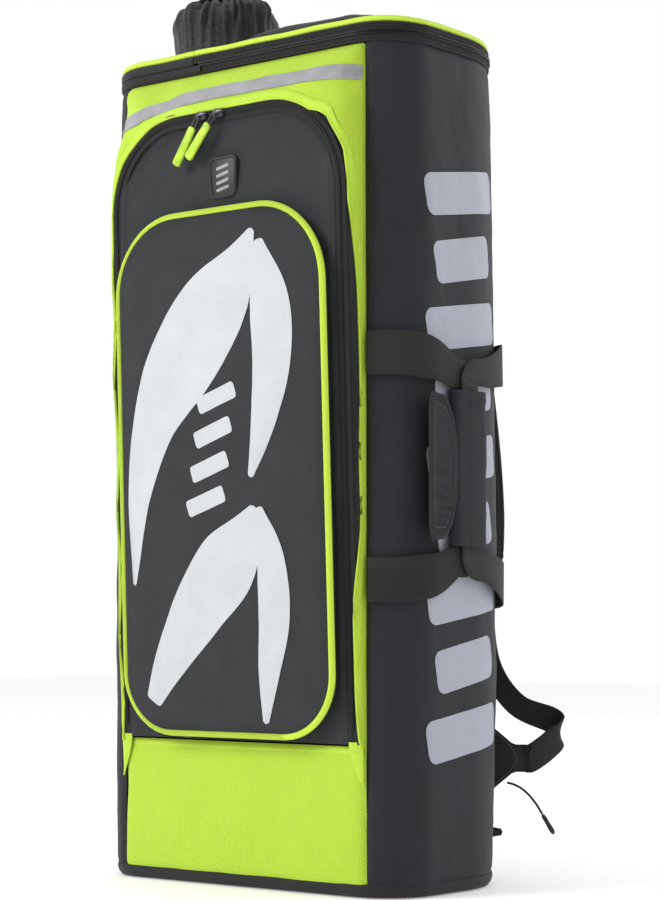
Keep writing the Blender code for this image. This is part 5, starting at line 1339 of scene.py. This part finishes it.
def build_back():
    y0, wide, low, top, thick = DEPTH / 2 + 0.0016, 0.062, 0.110, 0.640, 0.0105
    u, z = np.meshgrid(np.sin(np.linspace(-1, 1, 70) * math.pi / 2) * wide,
                       (low + top) / 2 + (top - low) / 2 * np.sin(np.linspace(-1, 1, 190) * math.pi / 2))
    corner = 0.018
    ex, ez = np.clip((np.abs(u) - (wide - corner)) / corner, 0,
                     1), np.clip((np.abs(z - (low + top) / 2) - ((top - low) / 2 - corner)) / corner, 0,
                                 1)
    over = np.maximum(np.hypot(ex, ez), 1e-6)
    shrink = np.where(over > 1, 1 / over, 1)
    u = np.sign(u) * np.where(np.abs(u) > wide - corner, wide - corner + corner * ex * shrink, np.abs(u))
    zc = z - (low + top) / 2
    z = (low + top) / 2 + np.sign(zc) * np.where(np.abs(zc) > (top - low) / 2 - corner, (top - low) / 2
                                                 - corner + corner * ez * shrink, np.abs(zc))
    rim = np.clip(1 - np.minimum(over, 1) ** 3, 0, 1) ** 0.5
    groove = sum(np.exp(-((z - g) / 0.004) ** 2) for g in np.linspace(low, top, 7)[1:-1])
    groove = np.clip(groove + np.exp(-(u / 0.0035) ** 2), 0, 1)
    height = 0.0014 + thick * rim * (1 - 0.55 * groove)
    front = np.stack([u, y0 + height, z], axis=2)
    back = np.stack([u, 0 * u + y0 - 0.0010, z], axis=2)
    rows, cols = u.shape
    V = np.concatenate([front.reshape(-1, 3), back.reshape(-1, 3)])
    size = rows * cols
    F = grid_faces(rows, cols) + grid_faces(rows, cols, start=size, flip=True)
    for edge in ([(0, j) for j in range(cols)], [(rows - 1, j) for j in range(cols)],
                 [(i, 0) for i in range(rows)],
                 [(i, cols - 1) for i in range(rows)]):
        for (i, j), (k, m) in zip(edge, edge[1:]):
            p, q = i * cols + j, k * cols + m
            F.append((p, q, q + size, p + size))
    uv = flat_uv(front)
    pad = make("back_pad_mesh", [(V, F, np.concatenate([uv, uv]))], SPACER, "shell",
               ["back_pad"])
    frame_line = np.concatenate([front[0], front[1:-1, -1], front[-1, ::-1], front[-2:0:-1, 0]])
    frame_line = frame_line[np.concatenate([[True],
                                            np.linalg.norm(np.diff(frame_line, axis=0), axis=1) > 1e-4])]
    make("back_pad_binding", [g_tube(walk(frame_line, 0.004, True)[0], 0.0019, True, 8, up=(0, 1, 0))],
         BINDING, "shell")

    z, y = 0.678, DEPTH / 2 + 0.0021
    path = smooth_path([(-0.040, y, z), (-0.030, y + 0.003, z - 0.001), (-0.021, y + 0.016, z - 0.003),
                        (0, y + 0.022, z - 0.004),
                        (0.021, y + 0.016, z - 0.003), (0.030, y + 0.003, z - 0.001), (0.040, y, z)], 8)
    make("haul_loop_webbing", [g_ribbon(path, np.broadcast_to((0.0, 0, 1), path.shape), 0.022, 0.0019)],
         WEBBING, "haul_loop",
         ["haul_loop"])

    for side, name in ((1, "right"), (-1, "left")):
        body = f"strap_{name}"
        base_y, lift = DEPTH / 2 + 0.010, 0.010
        line = [(0.0, 0.0, 0.012), (0.004, 0.010, 0.060), (0.014, 0.020, 0.140), (0.028, 0.022, 0.230),
                (0.041, 0.018, 0.315),
                (0.046, 0.013, 0.380)]
        path = smooth_path([(side * (0.042 + out), base_y + lift + away, 0.658 - drop) for out, away,
                            drop in line], 10)
        widths = 0.060 - 0.014 * np.linspace(0, 1, len(path)) ** 2
        taper = np.clip((1 - np.linspace(0, 1, len(path))) / 0.03, 0.35,
                        1) * np.clip(np.linspace(0, 1, len(path)) / 0.03, 0.45, 1)
        solid, a, n = g_padded_strap(path, np.broadcast_to((1.0, 0, 0), path.shape),
                                     widths * taper ** 0.3, 0.0122, 81)
        if n[0][1] < 0:
            n = -n
        pad = make(f"shoulder_pad_{name}", [solid], SPACER, body, [f"shoulder_strap_{name}"])
        half = (widths * taper ** 0.3 / 2)[:, None]
        binding = [g_tube(path + a * half * k, 0.0021, sides=8) for k in (-0.99, 0.99)]
        make(f"shoulder_binding_{name}", binding, BINDING, body)
        face = path[6:] + n[6:] * 0.0068
        make(f"shoulder_webbing_{name}", [g_ribbon(face, a[6:], 0.025, 0.0016)], WEBBING, body)
        threads = [g_stitches(face + a[6:] * k + n[6:] * 0.0009, n[6:]) for k in (-0.0105, 0.0105)]
        make(f"shoulder_stitches_{name}", threads, THREAD_GREY, body)
        end = path[-1]
        bars = [g_tube(np.array([end + (dx, 0, dz) for dx in np.linspace(-0.0145, 0.0145, 8)]), r,
                       sides=10)
                for dz, r in ((-0.0040, 0.0022), (-0.0150, 0.0017), (-0.0262, 0.0022))]
        for dx in (-0.0148, 0.0148):
            bars.append(g_plate(end + (dx, 0, -0.0151), ((1, 0, 0), (0, 0, 1), (0, 1, 0)),
                                pill(0.0262, 0.0042, 0.0018), -0.0027, 0.0027, 0.0006))
        make(f"ladder_lock_body_{name}", bars, PLASTIC, body, [f"ladder_lock_{name}"])

        foot, outward, normal = anchor(side)
        apex = foot + outward * 0.0525 + np.array([0, 0, ANCHOR_Z])
        route = [apex - outward * 0.014, apex, apex + outward * 0.005,
                 apex + (side * 0.013, 0.016, 0.010),
                 apex + (side * 0.017, 0.030, 0.022), apex + (side * 0.006, 0.036, 0.033),
                 (side * 0.118, DEPTH / 2 + 0.045, ANCHOR_Z + 0.048),
                 (side * 0.0955, DEPTH / 2 + 0.035, ANCHOR_Z + 0.085),
                 (end[0], end[1], end[2] - 0.0300)]
        path = smooth_path(route, 8)
        turn = np.clip((np.linspace(0, 1, len(path)) - 0.48) / 0.38, 0, 1)
        across = np.stack([side * turn, 0 * turn, 1 - turn], axis=1)
        make(f"harness_webbing_{name}", [g_ribbon(path, across, 0.025, 0.0019)], WEBBING, "shell",
             [f"strap_webbing_{name}"])
        corners = [(-0.001, -0.048), (0.040, -0.014), (0.050, -0.010), (0.0515, 0.0), (0.050, 0.010),
                   (0.040, 0.014), (-0.001, 0.048)]
        make(f"anchor_wing_{name}",
             [g_plate(foot + np.array([0, 0, ANCHOR_Z]), (outward, (0, 0, 1), normal), corners, -0.0012,
                      0.0012, 0.0006)],
             WEBBING, "shell", [f"strap_anchor_{name}"])
        edge = np.array([foot + np.array([0, 0, ANCHOR_Z]) + outward * p + np.array([0, 0, q]) for p, q in
                         ((0.004, -0.0395), (0.040, -0.0095), (0.040, 0.0095), (0.004, 0.0395))])
        edge = smooth_path(edge, 10)
        make(f"anchor_stitches_{name}", [g_stitches(edge + normal * k * 0.0014, normal * k)
                                         for k in (-1, 1)], THREAD_GREY, "shell")
    foot, outward, normal = anchor(1)
    tab = [(-0.001, -0.008), (0.022, -0.0045), (0.0300, -0.003), (0.0312, 0.0), (0.0300, 0.003),
           (0.022, 0.0045), (-0.001, 0.008)]
    make("lashing_fold", [g_plate(foot + np.array([0, 0, 0.040]), (outward, (0, 0, 1), normal), tab,
                                  -0.0016, 0.0016, 0.0006)],
         WEBBING, "shell", ["lashing_tab"])


def dress_frame():
    """Finishes for the CAD nodes that stay in view."""
    for node, look in (("base_panel", BASE_CLOTH), ("base_board", BOARD), ("back_board", BOARD),
                       ("pocket_divider", LINING),
                       ("collar_drawcord", CORD_OBJ), ("cord_lock", PLASTIC),
                       ("cord_lock_button", PLASTIC)):
        obj = NODES[node]
        obj.data.materials.clear()
        obj.data.materials.append(look)


CORD_OBJ = ribbed("braided_cord_round", (0.014, 0.014, 0.015), 0.0009, 0.0002, 0.7, space="Object",
                  twill=1.0)
BASE_CLOTH = woven("base_cloth", (0.018, 0.018, 0.020), 0.0013, 0.0003, 0.75, 0.15, space="Object")
LIME_CORD_PLAIN = moulded("lime_pull_rubber", (0.50, 0.74, 0.05), 0.42)

build_stage()
build_cord()
build_walls()
build_top()
build_collar()
build_front_frame()
build_flap()
build_fittings()
build_handle()
build_back()
dress_frame()
